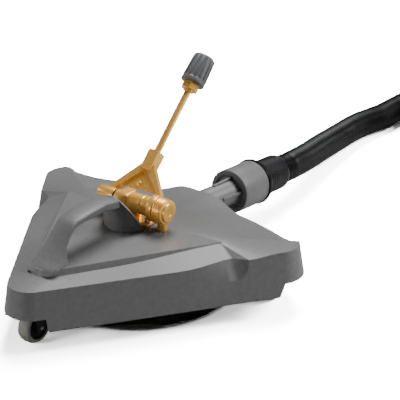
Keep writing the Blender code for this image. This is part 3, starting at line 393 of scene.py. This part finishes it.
@dataclass
class RingArray:
    """Copies of one small shape round a circle, made by Geometry Nodes."""

    count: int
    radius: float
    seed: int = 1
    least: float = 1.0

    def tree(self) -> bpy.types.NodeTree:
        """The node group, made once."""
        known = bpy.data.node_groups.get("ring_array")
        if known:
            return known
        tree = bpy.data.node_groups.new("ring_array", "GeometryNodeTree")
        for label, kind in (("Shape", "NodeSocketObject"), ("Count", "NodeSocketInt"),
                            ("Radius", "NodeSocketFloat"), ("Least Size", "NodeSocketFloat"),
                            ("Seed", "NodeSocketInt"), ("Finish", "NodeSocketMaterial")):
            tree.interface.new_socket(label, in_out="INPUT", socket_type=kind)
        tree.interface.new_socket("Geometry", in_out="OUTPUT", socket_type="NodeSocketGeometry")
        graph = Graph(tree)
        given = tree.nodes.new("NodeGroupInput")
        wires = {socket.name: Wire(graph, socket) for socket in given.outputs if socket.name}
        circle = graph.add("GeometryNodeMeshCircle", None,
                           {"Vertices": wires["Count"], "Radius": wires["Radius"]})
        shape = graph.add("GeometryNodeObjectInfo", None, {"Object": wires["Shape"]}, output="Geometry")
        spot = graph.add("GeometryNodeInputPosition")
        facing = graph.add("FunctionNodeAlignRotationToVector", {"axis": "X", "pivot_axis": "Z"},
                           {"Vector": spot})
        size = graph.add("FunctionNodeRandomValue", {"data_type": "FLOAT"},
                         {2: wires["Least Size"], 3: 1.0, "Seed": wires["Seed"]}, output=1)
        copies = graph.add("GeometryNodeInstanceOnPoints", None,
                           {"Points": circle, "Instance": shape, "Rotation": facing, "Scale": size})
        real = graph.add("GeometryNodeRealizeInstances", None, {"Geometry": copies})
        dressed = graph.add("GeometryNodeSetMaterial", None, {"Geometry": real, "Material": wires["Finish"]})
        result = tree.nodes.new("NodeGroupOutput")
        tree.links.new(dressed.socket, result.inputs[0])
        return tree

    def mesh(self, shape: bmesh.types.BMesh, finish: Finish) -> bmesh.types.BMesh:
        """Run the tree on a shape that points along +X from the circle.

        Args:
            shape: one copy, about the origin.
            finish: its finish.

        Returns:
            All the copies as one mesh.
        """
        tree = self.tree()
        pattern = bpy.data.meshes.new("one")
        bmesh.ops.recalc_face_normals(shape, faces=shape.faces)
        shape.to_mesh(pattern)
        shape.free()
        one = bpy.data.objects.new("one", pattern)
        host = bpy.data.objects.new("host", bpy.data.meshes.new("host"))
        for item in (one, host):
            bpy.context.collection.objects.link(item)
        work = host.modifiers.new("array", "NODES")
        work.node_group = tree
        keys = {item.name: item.identifier for item in tree.interface.items_tree if item.in_out == "INPUT"}
        for label, value in (("Shape", one), ("Count", self.count), ("Radius", self.radius),
                             ("Least Size", self.least), ("Seed", self.seed), ("Finish", finish.material())):
            work[keys[label]] = value
        bpy.context.view_layer.update()
        made = bpy.data.meshes.new_from_object(host.evaluated_get(bpy.context.evaluated_depsgraph_get()))
        host.modifiers.clear()
        for item in (host, one):
            bpy.data.objects.remove(item, do_unlink=True)
        result = bmesh.new()
        result.from_mesh(made)
        bpy.data.meshes.remove(made)
        return result


# ------------------------------------------------------------------ hood

@dataclass
class Triangle:
    """Half plan of a round-cornered triangle with a bowed rear side."""

    nose_y: float
    nose_r: float
    rear_x: float
    rear_y: float
    rear_r: float
    bow: float

    def __post_init__(self) -> None:
        """Work out the tangents and the rear arc."""
        self.nose, self.rear = Vector((0, self.nose_y)), Vector((self.rear_x, self.rear_y))
        run = self.rear - self.nose
        along = run.normalized()
        lean = (self.nose_r - self.rear_r) / run.length
        self.normal = Vector((along.y, -along.x)) * math.sqrt(1 - lean * lean) + along * lean
        self.side_angle = math.atan2(self.normal.y, self.normal.x)
        self.start = self.nose + self.normal * self.nose_r
        self.end = self.rear + self.normal * self.rear_r
        self.side = (self.end - self.start).length
        back_y = self.rear_y + self.rear_r + self.bow
        drop = self.rear_y - back_y
        self.back_r = (self.rear_x ** 2 + drop ** 2 - self.rear_r ** 2) / (2 * self.bow)
        self.back_centre = Vector((0, back_y - self.back_r))
        self.back_angle = math.atan2(self.rear_y - self.back_centre.y, self.rear_x)

    def at(self, leg: float, inset: float = 0.0) -> tuple[Vector, Vector]:
        """Point and outward normal at a place round the plan.

        Args:
            leg: 0-1 the nose's arc, 1-2 the side, 2-3 the rear corner, 3-4 the rear side.
            inset: how far in.

        Returns:
            The point and the normal.
        """
        if 1 < leg <= 2:
            return self.start.lerp(self.end, leg - 1) - self.normal * inset, self.normal
        if leg <= 1:
            centre, r, a, b, t = self.nose, self.nose_r, -math.pi / 2, self.side_angle, leg
        elif leg <= 3:
            centre, r, a, b, t = self.rear, self.rear_r, self.side_angle, self.back_angle, leg - 2
        else:
            centre, r, a, b, t = self.back_centre, self.back_r, self.back_angle, math.pi / 2, leg - 3
        angle = a + t * (b - a)
        normal = Vector((math.cos(angle), math.sin(angle)))
        return centre + normal * (r - inset), normal


@dataclass
class Hood:
    """The moulded hood with its raised middle, side scoops, carry handle and shield.

    Heights are above the floor; scoop, block and step places are along a side from the nose's arc.
    """

    wall: float = 0.0035
    low: float = 0.033
    corner_low: float = 0.052
    groove: float = 0.067
    edge: float = 0.092
    block: float = 0.0944
    corner: float = 0.098
    valley: float = 0.082
    duct_roof: float = 0.100
    draft: float = 0.009
    scoop: float = 0.0155
    scoop_start: float = 0.195
    scoop_end: float = 0.283
    block_front: float = 0.3023
    step_nose: float = 0.0105
    step_rear: float = 0.360
    top: float = 0.105
    crown: float = 0.0008
    lip: float = 0.0015
    riser_low: float = 0.097
    riser_run: float = 0.0045
    bevel_run: float = 0.014
    bevel_drop: float = 0.0048
    stem_hole: float = 0.0125
    shield_y: float = -0.0166
    shield_r: float = 0.0355
    shield_wall: float = 0.004
    shield_flare: float = 0.0035
    shield_half_angle: float = 76.0
    shield_rise: float = 0.053
    shield_ends: float = 0.0015
    skirt: Triangle = field(default_factory=lambda: Triangle(-0.2225, 0.0414, 0.196, 0.072, 0.045, 0.040))
    plateau: Triangle = field(default_factory=lambda: Triangle(-0.185, 0.022, 0.128, 0.022, 0.018, 0.030))

    def legs(self) -> list[float]:
        """Places round the half plan where the hood has a column of points."""
        marks = [0.0, self.step_nose, self.step_nose + 0.002, 0.03, 0.055, 0.08, 0.105, 0.13, 0.155, 0.178,
                 self.scoop_start, 0.207, 0.218, 0.229, 0.240, 0.250, 0.260, 0.269, 0.277, self.scoop_end,
                 0.2855, 0.289, 0.293, 0.297, 0.300, self.block_front, self.block_front + 0.003, 0.311, 0.321,
                 0.332, 0.346, self.step_rear, self.step_rear + 0.0015]
        return ([i / 22 for i in range(22)] + [1 + m / self.skirt.side for m in marks]
                + [2 + i / 26 for i in range(26)] + [3 + i / 30 for i in range(31)])

    def column(self, leg: float, wall: float = 0.0) -> list[Vector]:
        """Points of one skin from the lower edge to the middle, at one place round the plan."""
        side = self.skirt.side
        run = (leg - 1) * side if 1 <= leg <= 2 else None
        over_corner = leg < 1 or 2 <= leg <= 3.05 or (run is not None and (
            run <= self.step_nose + SLIVER or run > self.step_rear + SLIVER))
        low = self.corner_low if over_corner else self.low
        tall = self.edge - self.low
        scoop, groove, edge, on_top = 0.0, self.groove, self.edge, leg
        if run is not None:
            on_top = 1 + run / self.scoop_end
            if run >= self.scoop_end:
                on_top = 2.0
            if run > self.block_front:
                on_top = 2 + 0.6 * (run - self.block_front) / (side - self.block_front)
            if run <= self.scoop_end:
                span = self.scoop_end - self.scoop_start
                scoop = self.scoop * smoothstep((run - self.scoop_start) / span) ** 1.5
                edge += self.crown * scoop / self.scoop
            elif run <= self.block_front:
                out = (run - self.scoop_end) / (self.block_front - self.scoop_end)
                scoop = self.scoop * (1 - out)
                edge += self.crown + (self.block - self.edge - self.crown) * out
                groove += (self.block - 0.0012 - self.groove) * (1 - math.sqrt(1 - out ** 2))
            else:
                edge = self.block + (self.corner - self.block) * smoothstep((run - self.block_front) / 0.045)
        elif 2 < leg <= 3:
            on_top = 2.6 + 0.4 * (leg - 2)
        if leg > 2:
            edge = self.corner + (self.valley - self.corner) * smoothstep((leg - 2.75) / 0.45)
            edge += (self.duct_roof - self.valley) * smoothstep((leg - 3.62) / 0.28)

        def wall_point(z: float, extra: float = 0.0) -> Vector:
            """Point of the drafted wall."""
            inset = self.draft * (z - self.low) / tall + extra + wall
            point, _ = self.skirt.at(leg, inset)
            return Vector((point.x, point.y, z - (wall if extra or z >= edge else 0)))

        rim, normal = self.plateau.at(on_top)
        fade = smoothstep((on_top - 1.35) / 0.65) if on_top < 2 else 1.0
        if on_top <= 2:
            reach = self.riser_run * (1 - 0.7 * fade)
            foot = self.riser_low + (self.top - self.lip - self.riser_low) * fade
        else:
            swell = smoothstep((on_top - 2) * 2.5) * (1 - 0.45 * smoothstep(on_top - 3))
            reach = 0.00135 + self.bevel_run * swell
            foot = self.top - self.lip - (self.bevel_drop - self.lip) * swell
        outer = rim + normal * reach
        crown = self.top + self.crown - wall
        return [wall_point(low), wall_point(groove), wall_point(edge, scoop),
                Vector((outer.x, outer.y, foot - wall)), Vector((rim.x, rim.y, self.top - wall)),
                Vector((rim.x * 0.45, rim.y * 0.45, crown)),
                Vector((self.stem_hole * rim.x / rim.length, self.stem_hole * rim.y / rim.length, crown))]

    def build(self) -> None:
        """Make the hood, the handle and the shield."""
        legs = self.legs()
        rings = []
        for wall, turn in ((0.0, 1), (self.wall, -1)):
            columns = [self.column(leg, wall) for leg in legs]
            skin = []
            for index in range(len(columns[0])):
                half = [c[index] for c in columns]
                skin.append(half + [Vector((-p.x, p.y, p.z)) for p in half[-2:0:-1]])
            rings += skin[::turn]
        place("hood", loft(rings, closed=True), HOOD, Body.HOOD.value, ["hood_shell"], bevel=0.0014,
              sharp=26)
        self._handle()

    def _handle(self) -> None:
        """The carry handle that runs into the shield, as sections from its foot to the shield.

        Each section is its outer and inner (y, z) and the half widths there.
        """
        top = self.top + self.crown + CLEAR
        profile = [((-0.2092, 0.0992), (-0.1670, 0.1040), 0.0240, 0.0240),
                   ((-0.2058, 0.1045), (-0.1672, 0.1070), 0.0245, 0.0235),
                   ((-0.2005, 0.1082), (-0.1674, 0.1092), 0.0238, 0.0223),
                   ((-0.1935, 0.1115), (-0.1680, 0.1120), 0.0230, 0.0210),
                   ((-0.1820, 0.1205), (-0.1675, 0.1195), 0.0215, 0.0190),
                   ((-0.1720, 0.1300), (-0.1640, 0.1280), 0.0200, 0.0150),
                   ((-0.1620, 0.1425), (-0.1550, 0.1370), 0.0180, 0.0130),
                   ((-0.1540, 0.1530), (-0.1470, 0.1440), 0.0160, 0.0140),
                   ((-0.1450, 0.1590), (-0.1360, 0.1480), 0.0160, 0.0140),
                   ((-0.1150, 0.1620), (-0.1120, 0.1490), 0.0160, 0.0140),
                   ((-0.0820, 0.1640), (-0.0820, 0.1490), 0.0160, 0.0150),
                   ((-0.0560, 0.1600), (-0.0535, 0.1440), 0.0160, 0.0160)]
        across = ((0, 0.70), (0.07, 0.90), (0.22, 1.0), (0.78, 1.0), (0.93, 0.92), (1.0, 0.75))
        rings = []
        for (y_out, z_out), (y_in, z_in), half_out, half_in in profile:
            outer, inner = Vector((0, y_out, z_out)), Vector((0, y_in, z_in))
            lines = [(outer.lerp(inner, share), wide * (half_out + (half_in - half_out) * share))
                     for share, wide in across]
            rings.append([Vector((x, p.y, p.z)) for p, x in lines]
                         + [Vector((-x, p.y, p.z)) for p, x in lines[::-1]])
        place("carry_handle_and_shield", merged([(loft(rings), SAME), (self._shield(top), SAME)]), HOOD,
              Body.HOOD.value, ["carry_handle"], bevel=0.0012, sharp=35)

    def _shield(self, top: float) -> bmesh.types.BMesh:
        """The curved shield, tallest in the middle.

        Args:
            top: height it stands on.

        Returns:
            Its mesh.
        """
        steps, edge = 64, 0.001
        flare, inner = self.shield_flare, self.shield_flare - self.shield_wall
        rings = []
        for i in range(steps + 1):
            share = -1 + 2 * i / steps
            turn = math.radians(self.shield_half_angle * share)
            rise = top + self.shield_rise * math.cos(share * math.pi / 2) + self.shield_ends
            ring = []
            for r, z in ((0, top), (flare, rise - edge), (flare - edge, rise), (inner + edge, rise),
                         (inner, rise - edge), (-self.shield_wall, top)):
                reach = self.shield_r + r
                ring.append(Vector((reach * math.sin(turn), self.shield_y - reach * math.cos(turn), z)))
            rings.append(ring)
        return loft(rings)


# ------------------------------------------------------------------ brass work

@dataclass
class Swivel:
    """Brass line across the pivot, the tilting yoke, and the lance with its coupling nut."""

    reach: float = 0.059
    flutes: int = 12
    bore: float = 0.0093
    sleeve_r: float = 0.0145
    elbow_r: float = 0.0185
    stub_x: float = 0.0555
    plug_r: float = 0.0180
    socket_side: float = 0.009
    socket_end: float = 0.081
    pipe_bore: float = 0.0030
    pipe_r: float = 0.0050
    pipe_end: float = 0.203
    hex_r: float = 0.0135
    hex_low: float = 0.1860
    hex_high: float = 0.1960
    flute_r: float = 0.0172

    def build(self) -> None:
        """Make the fixed line, the yoke and the lance."""
        hood = Body.HOOD.value
        bore, r = self.bore, self.sleeve_r
        sleeve = rounded([(bore, 0.0193), (r, 0.0193), (r, 0.0240), (0.0136, 0.0244), (0.0136, 0.0256),
                          (r, 0.0260), (r, 0.0382), (bore, 0.0382)], 0.0005)
        place("seal_sleeve_turned", lathe(sleeve), BRASS, hood, ["seal_sleeve"], CROSS)
        r = self.elbow_r
        grooves = [(bore, 0.0485), (0.0178, 0.0485)]
        for z in (0.0508, 0.0542, 0.0576):
            grooves += [(r, z), (r, z + 0.0020), (0.0176, z + 0.0024), (0.0176, z + 0.0030)]
        grooves += [(r, 0.0610), (0.0178, 0.0628), (bore, 0.0628)]
        stub = rounded(tube(0.0045, (0.1061, 0.1230, 0.0070)), 0.0006)
        at_stub = Matrix.Translation((self.stub_x, PIVOT.y, 0))
        place("feed_elbow_turned", merged([(lathe(rounded(grooves, 0.0004, 2)), CROSS),
                                           (lathe(stub, 40), at_stub)]), BRASS, hood, ["feed_elbow"])
        r = self.plug_r
        plug = rounded([(0, 0.0631), (r, 0.0631), (r, 0.0654), (0.0140, 0.0658), (0.0140, 0.0684),
                        (0.0132, 0.0690), (0.0050, 0.0690), (0.0044, 0.0682), (0, 0.0682)], 0.0005)
        place("end_plug_turned", lathe(plug), BRASS, hood, ["end_plug"], CROSS)
        self._yoke()
        self._lance()

    def _yoke(self) -> None:
        """Two eyes, two arms, the web with its rivet, and the square socket."""
        half, left, right, reach = 0.0055, -0.0356, 0.0393, self.reach
        eye = lathe(rounded(tube(0.0068, (-0.0588, -0.0306, 0.0108)), 0.0010))
        ring = lathe(rounded(tube(self.bore, (0.0387, 0.0482, 0.0195)), 0.0012))
        at_arm = LANCE @ UPRIGHT
        arms = [prism([(left - 0.0125, 0.0090), (left - 0.0010, 0.0095), (0.0035, reach - 0.004),
                       (-0.0085, reach + 0.002)], -half, half),
                prism([(right, 0.0175), (right + 0.0083, 0.0160), (0.0075, reach + 0.002),
                       (-0.0035, reach - 0.006)], -half, half)]
        web = prism([(left - 0.004, 0.0185), (right + 0.003, 0.0205), (0.001, reach - 0.002)],
                    -0.0015, 0.0015)
        side = self.socket_side
        socket = prism([(-side, -side), (side, -side), (side, side), (-side, side)], reach - 0.0085,
                       self.socket_end)
        rivet = lathe(rounded([(0, 0.0012), (0.0042, 0.0012), (0.0036, 0.0034), (0, 0.0042)], 0.0006), 32)
        across = Matrix.Rotation(math.radians(90), 4, "X")
        at_rivet = LANCE @ Matrix.Translation((-0.002, 0, 0.0275)) @ across
        parts = [(eye, CROSS), (ring, CROSS), (arms[0], at_arm), (arms[1], at_arm), (web, at_arm),
                 (socket, LANCE), (rivet, at_rivet)]
        place("yoke_cast", merged(parts), BRASS, Body.LANCE.value, ["yoke"], bevel=0.0009)

    def _lance(self) -> None:
        """The brass tube, its hexagon and the fluted nut."""
        body = Body.LANCE.value
        pipe = rounded(tube(self.pipe_bore, (self.reach + 0.0045, self.pipe_end, self.pipe_r)), 0.0004)
        place("lance_pipe", lathe(pipe, 40), BRASS, body, ["lance_tube"], LANCE)
        hexagon = [(self.hex_r * math.cos(math.radians(60 * i)), self.hex_r * math.sin(math.radians(60 * i)))
                   for i in range(6)]
        collar = lathe(rounded(tube(0.0053, (0.1830, 0.1865, 0.0080)), 0.0005), 40)
        place("lance_hexagon", merged([(prism(hexagon, self.hex_low, self.hex_high), LANCE),
                                       (collar, LANCE)]), BRASS, body, ["lance_hex"], bevel=0.0009)
        core = rounded([(0.0062, 0.1965), (0.0172, 0.1965), (0.0185, 0.1980), (0.0183, 0.2030),
                        (0.0166, 0.2046), (0.0152, 0.2395), (0.0138, 0.2420), (0.0112, 0.2420),
                        (0.0102, 0.2400), (0.0102, 0.2010), (0.0062, 0.2010)], 0.0006)
        across = ((-0.0016, -1), (0.0008, -0.72), (0.0014, 0), (0.0008, 0.72), (-0.0016, 1))
        rib = loft([[Vector((r + out, share * w, z)) for out, share in across]
                    for r, w, z in ((-0.0004, 0.0026, 0.2035), (0.0, 0.0030, 0.2050),
                                    (-0.0008, 0.0029, 0.2230), (-0.0015, 0.0027, 0.2385),
                                    (-0.0026, 0.0020, 0.2405))])
        flutes = RingArray(self.flutes, self.flute_r).mesh(rib, NUT)
        place("coupling_nut_fluted", merged([(lathe(core, 72), LANCE), (flutes, LANCE)]), NUT,
              Body.NUT.value, ["union_nut"])


# ------------------------------------------------------------------ casters and brush

@dataclass
class Casters:
    """Tyres and rims of the three swivel casters."""

    r: float = 0.025
    wide: float = 0.020
    rim_share: float = 0.72
    hub_r: float = 0.0072
    bore: float = 0.0033

    def build(self) -> None:
        """Make each wheel where its CAD tyre stands."""
        half, rim_r, hub = self.wide / 2, self.rim_share * self.r, self.hub_r
        face, dish = half - 0.0006, half - 0.0035
        for name in ("front", "rear_right", "rear_left"):
            low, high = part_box(f"{name}_caster_tyre")
            centre = [(a + b) / 2 for a, b in zip(low, high)]
            axle = Matrix.Translation((centre[0], centre[1] - AXIS_Y, self.r)) @ ALONG_X
            tread = [(self.r - 0.0035 * (1 - math.sqrt(1 - t * t)), half * t * 0.96)
                     for t in (math.sin(math.radians(d)) for d in range(-75, 76, 15))]
            seat = rim_r + CLEAR
            tyre = [(seat, 0.0004 - half)] + tread + [(seat, half - 0.0004)]
            body = f"{name}_wheel"
            place(f"{name}_tyre", lathe(tyre, 72), TYRE, body, [f"{name}_caster_tyre"], axle)
            front = [(self.bore, half), (hub, half), (hub, dish), (rim_r - 0.0025, dish),
                     (rim_r - 0.001, face), (rim_r, face)]
            rim = rounded([(r, -z) for r, z in front] + front[::-1], 0.0004, 2)
            place(f"{name}_rim", lathe(rim, 56), BLACK, body, [f"{name}_caster_rim"], axle)


@dataclass
class Brush:
    """The ring of bristle tufts under its holder."""

    rows: Sequence[tuple[float, int, float]] = ((0.1388, 260, 1.0), (0.1370, 256, 0.75),
                                                (0.1352, 252, 0.45))
    top: float = 0.0668
    splay: float = 0.0074
    strand_gap: float = 0.00062
    strand_r: float = 0.00042

    def tuft(self, splay: float) -> bmesh.types.BMesh:
        """One tuft of seven strands that leans out by a share of the brush's splay."""
        strands = []
        for i in range(7):
            angle = 2 * math.pi * i / 6
            off = Vector((0, 0)) if i == 6 else Vector((math.cos(angle), math.sin(angle))) * self.strand_gap
            spread = 1 + 0.9 * (i % 3)
            rings = []
            for z, thick, lean in ((self.top - 0.001, self.strand_r, 0), (0.034, self.strand_r, 0),
                                   (0.015, 0.00036, 0.42), (0.0002 + 0.0011 * (i % 4), 0.00024, 1)):
                centre = Vector((off.x * (1 + 0.5 * lean * spread) + lean * splay * self.splay,
                                 off.y * (1 + lean * spread), z))
                rings.append([centre + Vector((thick * math.cos(a), thick * math.sin(a), 0))
                              for a in (math.radians(d) for d in (0, 120, 240))])
            strands.append((loft(rings), SAME))
        return merged(strands)

    def build(self) -> None:
        """Make the tufts and the holder."""
        parts = []
        for index, (radius, count, splay) in enumerate(self.rows):
            ring = RingArray(count, radius, seed=index + 3).mesh(self.tuft(splay), BRISTLE)
            parts.append((ring, SAME))
        place("bristle_tufts", merged(parts), BRISTLE, Body.HOOD.value, ["brush_ring"])
        holder = rounded([(0.1280, 0.0671), (0.1403, 0.0671), (0.1403, 0.0360), (0.1429, 0.0360),
                          (0.1429, 0.0697), (0.1280, 0.0697)], 0.0006)
        place("bristle_holder", lathe(holder, 144), BLACK, Body.HOOD.value, ["brush_holder"])


# ------------------------------------------------------------------ suction line

def smooth_path(knots: Sequence[Vector], step: float) -> list[Vector]:
    """Points about step apart on a Catmull-Rom curve through the knots."""
    padded = [2 * knots[0] - knots[1], *knots, 2 * knots[-1] - knots[-2]]
    fine = []
    for a, b, c, d in zip(padded, padded[1:], padded[2:], padded[3:]):
        pieces = max(2, math.ceil((c - b).length / (step / 4)))
        for i in range(pieces):
            t = i / pieces
            fine.append(0.5 * ((2 * b) + (c - a) * t + (2 * a - 5 * b + 4 * c - d) * t * t
                               + (3 * b - a - 3 * c + d) * t ** 3))
    fine.append(knots[-1])
    lengths = [0.0]
    for a, b in zip(fine, fine[1:]):
        lengths.append(lengths[-1] + (b - a).length)
    count = round(lengths[-1] / step)
    points, at = [], 0
    for i in range(count + 1):
        target = lengths[-1] * i / count
        while at < len(fine) - 2 and lengths[at + 1] < target:
            at += 1
        share = (target - lengths[at]) / max(1e-9, lengths[at + 1] - lengths[at])
        points.append(fine[at].lerp(fine[at + 1], share))
    return points


@dataclass
class SuctionLine:
    """Outlet collar, seal, cuff and the ribbed hose in its coil."""

    hose_r: float = 0.023
    pitch: float = 0.0037
    length: float = 4.5
    coil: Point = (0.206, 0.957)
    coil_r: float = 0.207
    coil_step: int = 15
    lift: float = 0.0015
    rib_drop: float = 0.0018
    ribs_shown: int = 160

    def build(self) -> None:
        """Make the outlet pieces and the hose."""
        hood = Body.HOOD.value
        self._collar()
        seal = rounded(tube(0.0208, (0.0599, 0.0651, 0.0368)), 0.0016)
        place("collar_gasket", lathe(seal, 96), RUBBER, hood, ["collar_seal"], OUTLET)
        low = 0.0654
        cuff = [(0.0180, 0.030), (0.0205, 0.030), (0.0205, low), (0.0285, low), (0.0297, low + 0.0015),
                (0.0297, low + 0.008), (0.0285, low + 0.0095)]
        for i in range(9):
            z = low + 0.012 + 0.005 * i
            cuff += [(0.0283, z), (0.0276, z + 0.001), (0.0276, z + 0.003), (0.0283, z + 0.004)]
        cuff += [(0.0273, low + 0.060), (0.0255, low + 0.062), (0.0180, low + 0.062)]
        place("cuff_ribbed", lathe(cuff, 88), BLACK, hood, ["hose_cuff"], OUTLET)
        self._hose()

    def _collar(self) -> None:
        """The neck, the stepped collar and its gussets."""
        profile = rounded([(0.0170, -0.0763), (0.0195, -0.0763), (0.0195, 0.0035), (0.0255, 0.0035),
                           (0.0270, 0), (0.0335, 0), (0.0347, 0.0012), (0.0347, 0.0596),
                           (0.0317, 0.0596), (0.0317, 0.0065), (0.0170, 0.0065)], 0.0005, 2)
        parts = [(lathe(profile, 96), OUTLET)]
        for angle in (190, 270, 350):
            rib = prism([(0.0185, -0.040), (0.0215, -0.040), (0.0235, -0.002), (0.0265, 0.0045),
                         (0.0185, 0.0045)], -0.0022, 0.0022)
            parts.append((rib, OUTLET @ Matrix.Rotation(math.radians(angle), 4, "Z") @ UPRIGHT))
        place("outlet_collar_moulded", merged(parts), COLLAR, Body.HOOD.value, ["outlet_collar"],
              bevel=0.0006)

    def route(self) -> list[Vector]:
        """Centre line of the whole hose from the cuff to its tail."""
        direction = (OUTLET.to_3x3() @ Vector((0, 0, 1))).normalized()
        start = OUTLET @ Vector((0, 0, 0.1280))
        mid = self.hose_r + self.lift
        knots = [start, start + 0.011 * direction, start + 0.023 * direction]
        knots += [Vector(p) for p in (
            (-0.0008, 0.389, 0.0592), (-0.0065, 0.428, 0.0545), (-0.0145, 0.466, 0.0495),
            (-0.0235, 0.504, 0.0448), (-0.0335, 0.552, 0.0388), (-0.0425, 0.601, 0.0338),
            (-0.0495, 0.640, 0.0300), (-0.0530, 0.676, 0.0272), (-0.0515, 0.710, 0.0253),
            (-0.0478, 0.738, 0.0246), (-0.0470, 0.758, 0.0245), (-0.0470, 0.780, 0.0245),
            (-0.0470, 0.830, 0.0245), (-0.0470, 0.880, 0.0245), (-0.0470, 0.925, 0.0245))]
        for turn in range(180, -376, -self.coil_step):
            wider = 0.046 * smoothstep((turn + 175) / 55)
            knots.append(self.on_coil(turn, self.coil_r + wider, mid))
        for turn in range(-390, -736, -self.coil_step):
            wider = 0.023 * smoothstep((-turn - 425) / 50)
            climb = 0.0398 * smoothstep((-turn - 385) / 85)
            bridge = 0.0068 * math.exp(-((turn + 508) / 32) ** 2)
            tail = 0.0082 * smoothstep((-turn - 672) / 63)
            knots.append(self.on_coil(turn, self.coil_r + wider, mid + climb + bridge + tail))
        return knots

    def on_coil(self, turn: float, r: float, z: float) -> Vector:
        """A point of the coil at an angle in degrees."""
        angle = math.radians(turn)
        return Vector((self.coil[0] + r * math.cos(angle), self.coil[1] + r * math.sin(angle), z))

    def _hose(self) -> None:
        """The ribbed tube along the route."""
        points = smooth_path(self.route(), self.pitch)
        sides = 26
        path = [AT_ROTOR @ p for p in points]
        across = Vector((1, 0, 0))
        rings = []
        outlines = ((0.0, 0.0), (0.42, 0.0), (0.55, -self.rib_drop), (0.87, -self.rib_drop))
        for i, point in enumerate(points[:-1]):
            ahead = points[i + 1] - point
            along = ahead.normalized()
            across = (across - along * across.dot(along)).normalized()
            up = along.cross(across)
            visible = point.y < 0.86 and i < self.ribs_shown
            for share, drop in (outlines if visible else (outlines[0], outlines[2])):
                centre, r = point + ahead * share, self.hose_r + drop
                rings.append([centre + (across * math.cos(a) + up * math.sin(a)) * r
                              for a in (2 * math.pi * k / sides for k in range(sides))])
        hose = place("ribbed_hose", loft(rings), RUBBER, Body.HOOD.value, ["suction_hose", "hose_coil"],
                     sharp=180)
        length = sum((b - a).length for a, b in zip(path, path[1:]))
        LOG.info("hose length %.3f", length)


# ------------------------------------------------------------------ studio

@dataclass(frozen=True)
class Lamp:
    """A square lamp with its place, its aim, its power in watts and its size."""

    name: str
    spot: Spot
    aim: Spot
    power: float
    size: float

    def build(self) -> None:
        """Hang the lamp."""
        light = bpy.data.lights.new(self.name, "AREA")
        light.energy, light.size = self.power, self.size
        lamp = bpy.data.objects.new(self.name, light)
        lamp.location = self.spot
        lamp.rotation_euler = (Vector(self.aim) - Vector(self.spot)).to_track_quat("-Z", "Y").to_euler()
        bpy.context.collection.objects.link(lamp)


LAMPS = (Lamp("key", (1.7, 1.3, 1.7), (0, 0.05, 0.05), 60, 0.9),
         Lamp("top", (-0.3, 0.9, 2.3), (0, 0.05, 0.0), 90, 1.2),
         Lamp("right", (1.2, 0.5, 0.3), (0.25, 0.1, 0.07), 3, 0.3),
         Lamp("left", (-1.9, -0.9, 0.9), (0, 0, 0.08), 9, 0.9),
         Lamp("nose", (-0.5, -1.6, 0.5), (0, -0.25, 0.07), 9, 0.4))


@dataclass
class Studio:
    """Pale floor, soft light and the camera.

    The floor is shown brighter to the camera than it lights the machine, for a white background.
    """

    floor_half: float = 9.0
    floor_drop: float = 0.0005
    lit_tone: float = 0.4
    seen_tone: float = 11.0
    lens: float = 153.0
    target: Spot = (-0.0442, 0.207 + AXIS_Y, 0.05)
    azimuth: float = 37.911
    elevation: float = 24.106
    distance: float = 2.6577

    def build(self) -> None:
        """Set the floor, the lights, the world and the camera."""
        ground = bpy.data.meshes.new("floor")
        half = self.floor_half
        ground.from_pydata([(-half, -half, 0), (half, -half, 0), (half, half, 0), (-half, half, 0)], [],
                           [(0, 1, 2, 3)])
        floor = bpy.data.objects.new("floor", ground)
        floor.location.z = -self.floor_drop
        bpy.context.collection.objects.link(floor)
        paper = bpy.data.materials.new("floor_paper")
        paper.use_nodes = True
        shader = paper.node_tree.nodes["Principled BSDF"]
        shader.inputs["Roughness"].default_value = 0.9
        graph = Graph(paper.node_tree)
        seen = graph.add("ShaderNodeLightPath", output="Is Camera Ray")
        tone = seen * self.seen_tone + self.lit_tone
        paper.node_tree.links.new(tone.socket, shader.inputs["Base Color"])
        ground.materials.append(paper)
        for lamp in LAMPS:
            lamp.build()
        self._world()
        self._camera()

    def _world(self) -> None:
        """A sky that is brighter overhead."""
        world = bpy.data.worlds.new("studio")
        world.use_nodes = True
        graph = Graph(world.node_tree)
        spot = graph.add("ShaderNodeTexCoord", output="Generated")
        tall = graph.add("ShaderNodeSeparateXYZ", None, {"Vector": spot}, output="Z")
        bright = graph.add("ShaderNodeMapRange", None,
                           {"Value": tall, "From Min": 0.15, "From Max": 0.9, "To Min": 0.25, "To Max": 1.6})
        world.node_tree.links.new(bright.socket, world.node_tree.nodes["Background"].inputs["Strength"])
        bpy.context.scene.world = world

    def _camera(self) -> None:
        """The camera, at its bearing and height from the target."""
        data = bpy.data.cameras.new("camera")
        data.sensor_width, data.lens = 36, self.lens
        camera = bpy.data.objects.new("camera", data)
        target = Vector(self.target)
        azimuth, elevation = math.radians(self.azimuth), math.radians(self.elevation)
        flat = math.cos(elevation)
        camera.location = target + self.distance * Vector((math.sin(azimuth) * flat,
                                                           -math.cos(azimuth) * flat,
                                                           math.sin(elevation)))
        camera.rotation_euler = (target - camera.location).to_track_quat("-Z", "Y").to_euler()
        bpy.context.collection.objects.link(camera)
        bpy.context.scene.camera = camera


def dress_frame() -> None:
    """Give each CAD node that still shows its finish."""
    slots = {part["node"]: part["material_slot"] for part in frame["record"]["subparts"]}
    for name, node in frame["nodes"].items():
        node.data.materials.clear()
        node.data.materials.append(FRAME_FINISHES[slots[name]].material())


def main() -> None:
    """Build every assembly in order and note the sizes."""
    logging.basicConfig(level=logging.INFO)
    Studio().build()
    dress_frame()
    SuctionLine().build()
    Hood().build()
    Swivel().build()
    Casters().build()
    Brush().build()


if __name__ == "__main__":
    main()
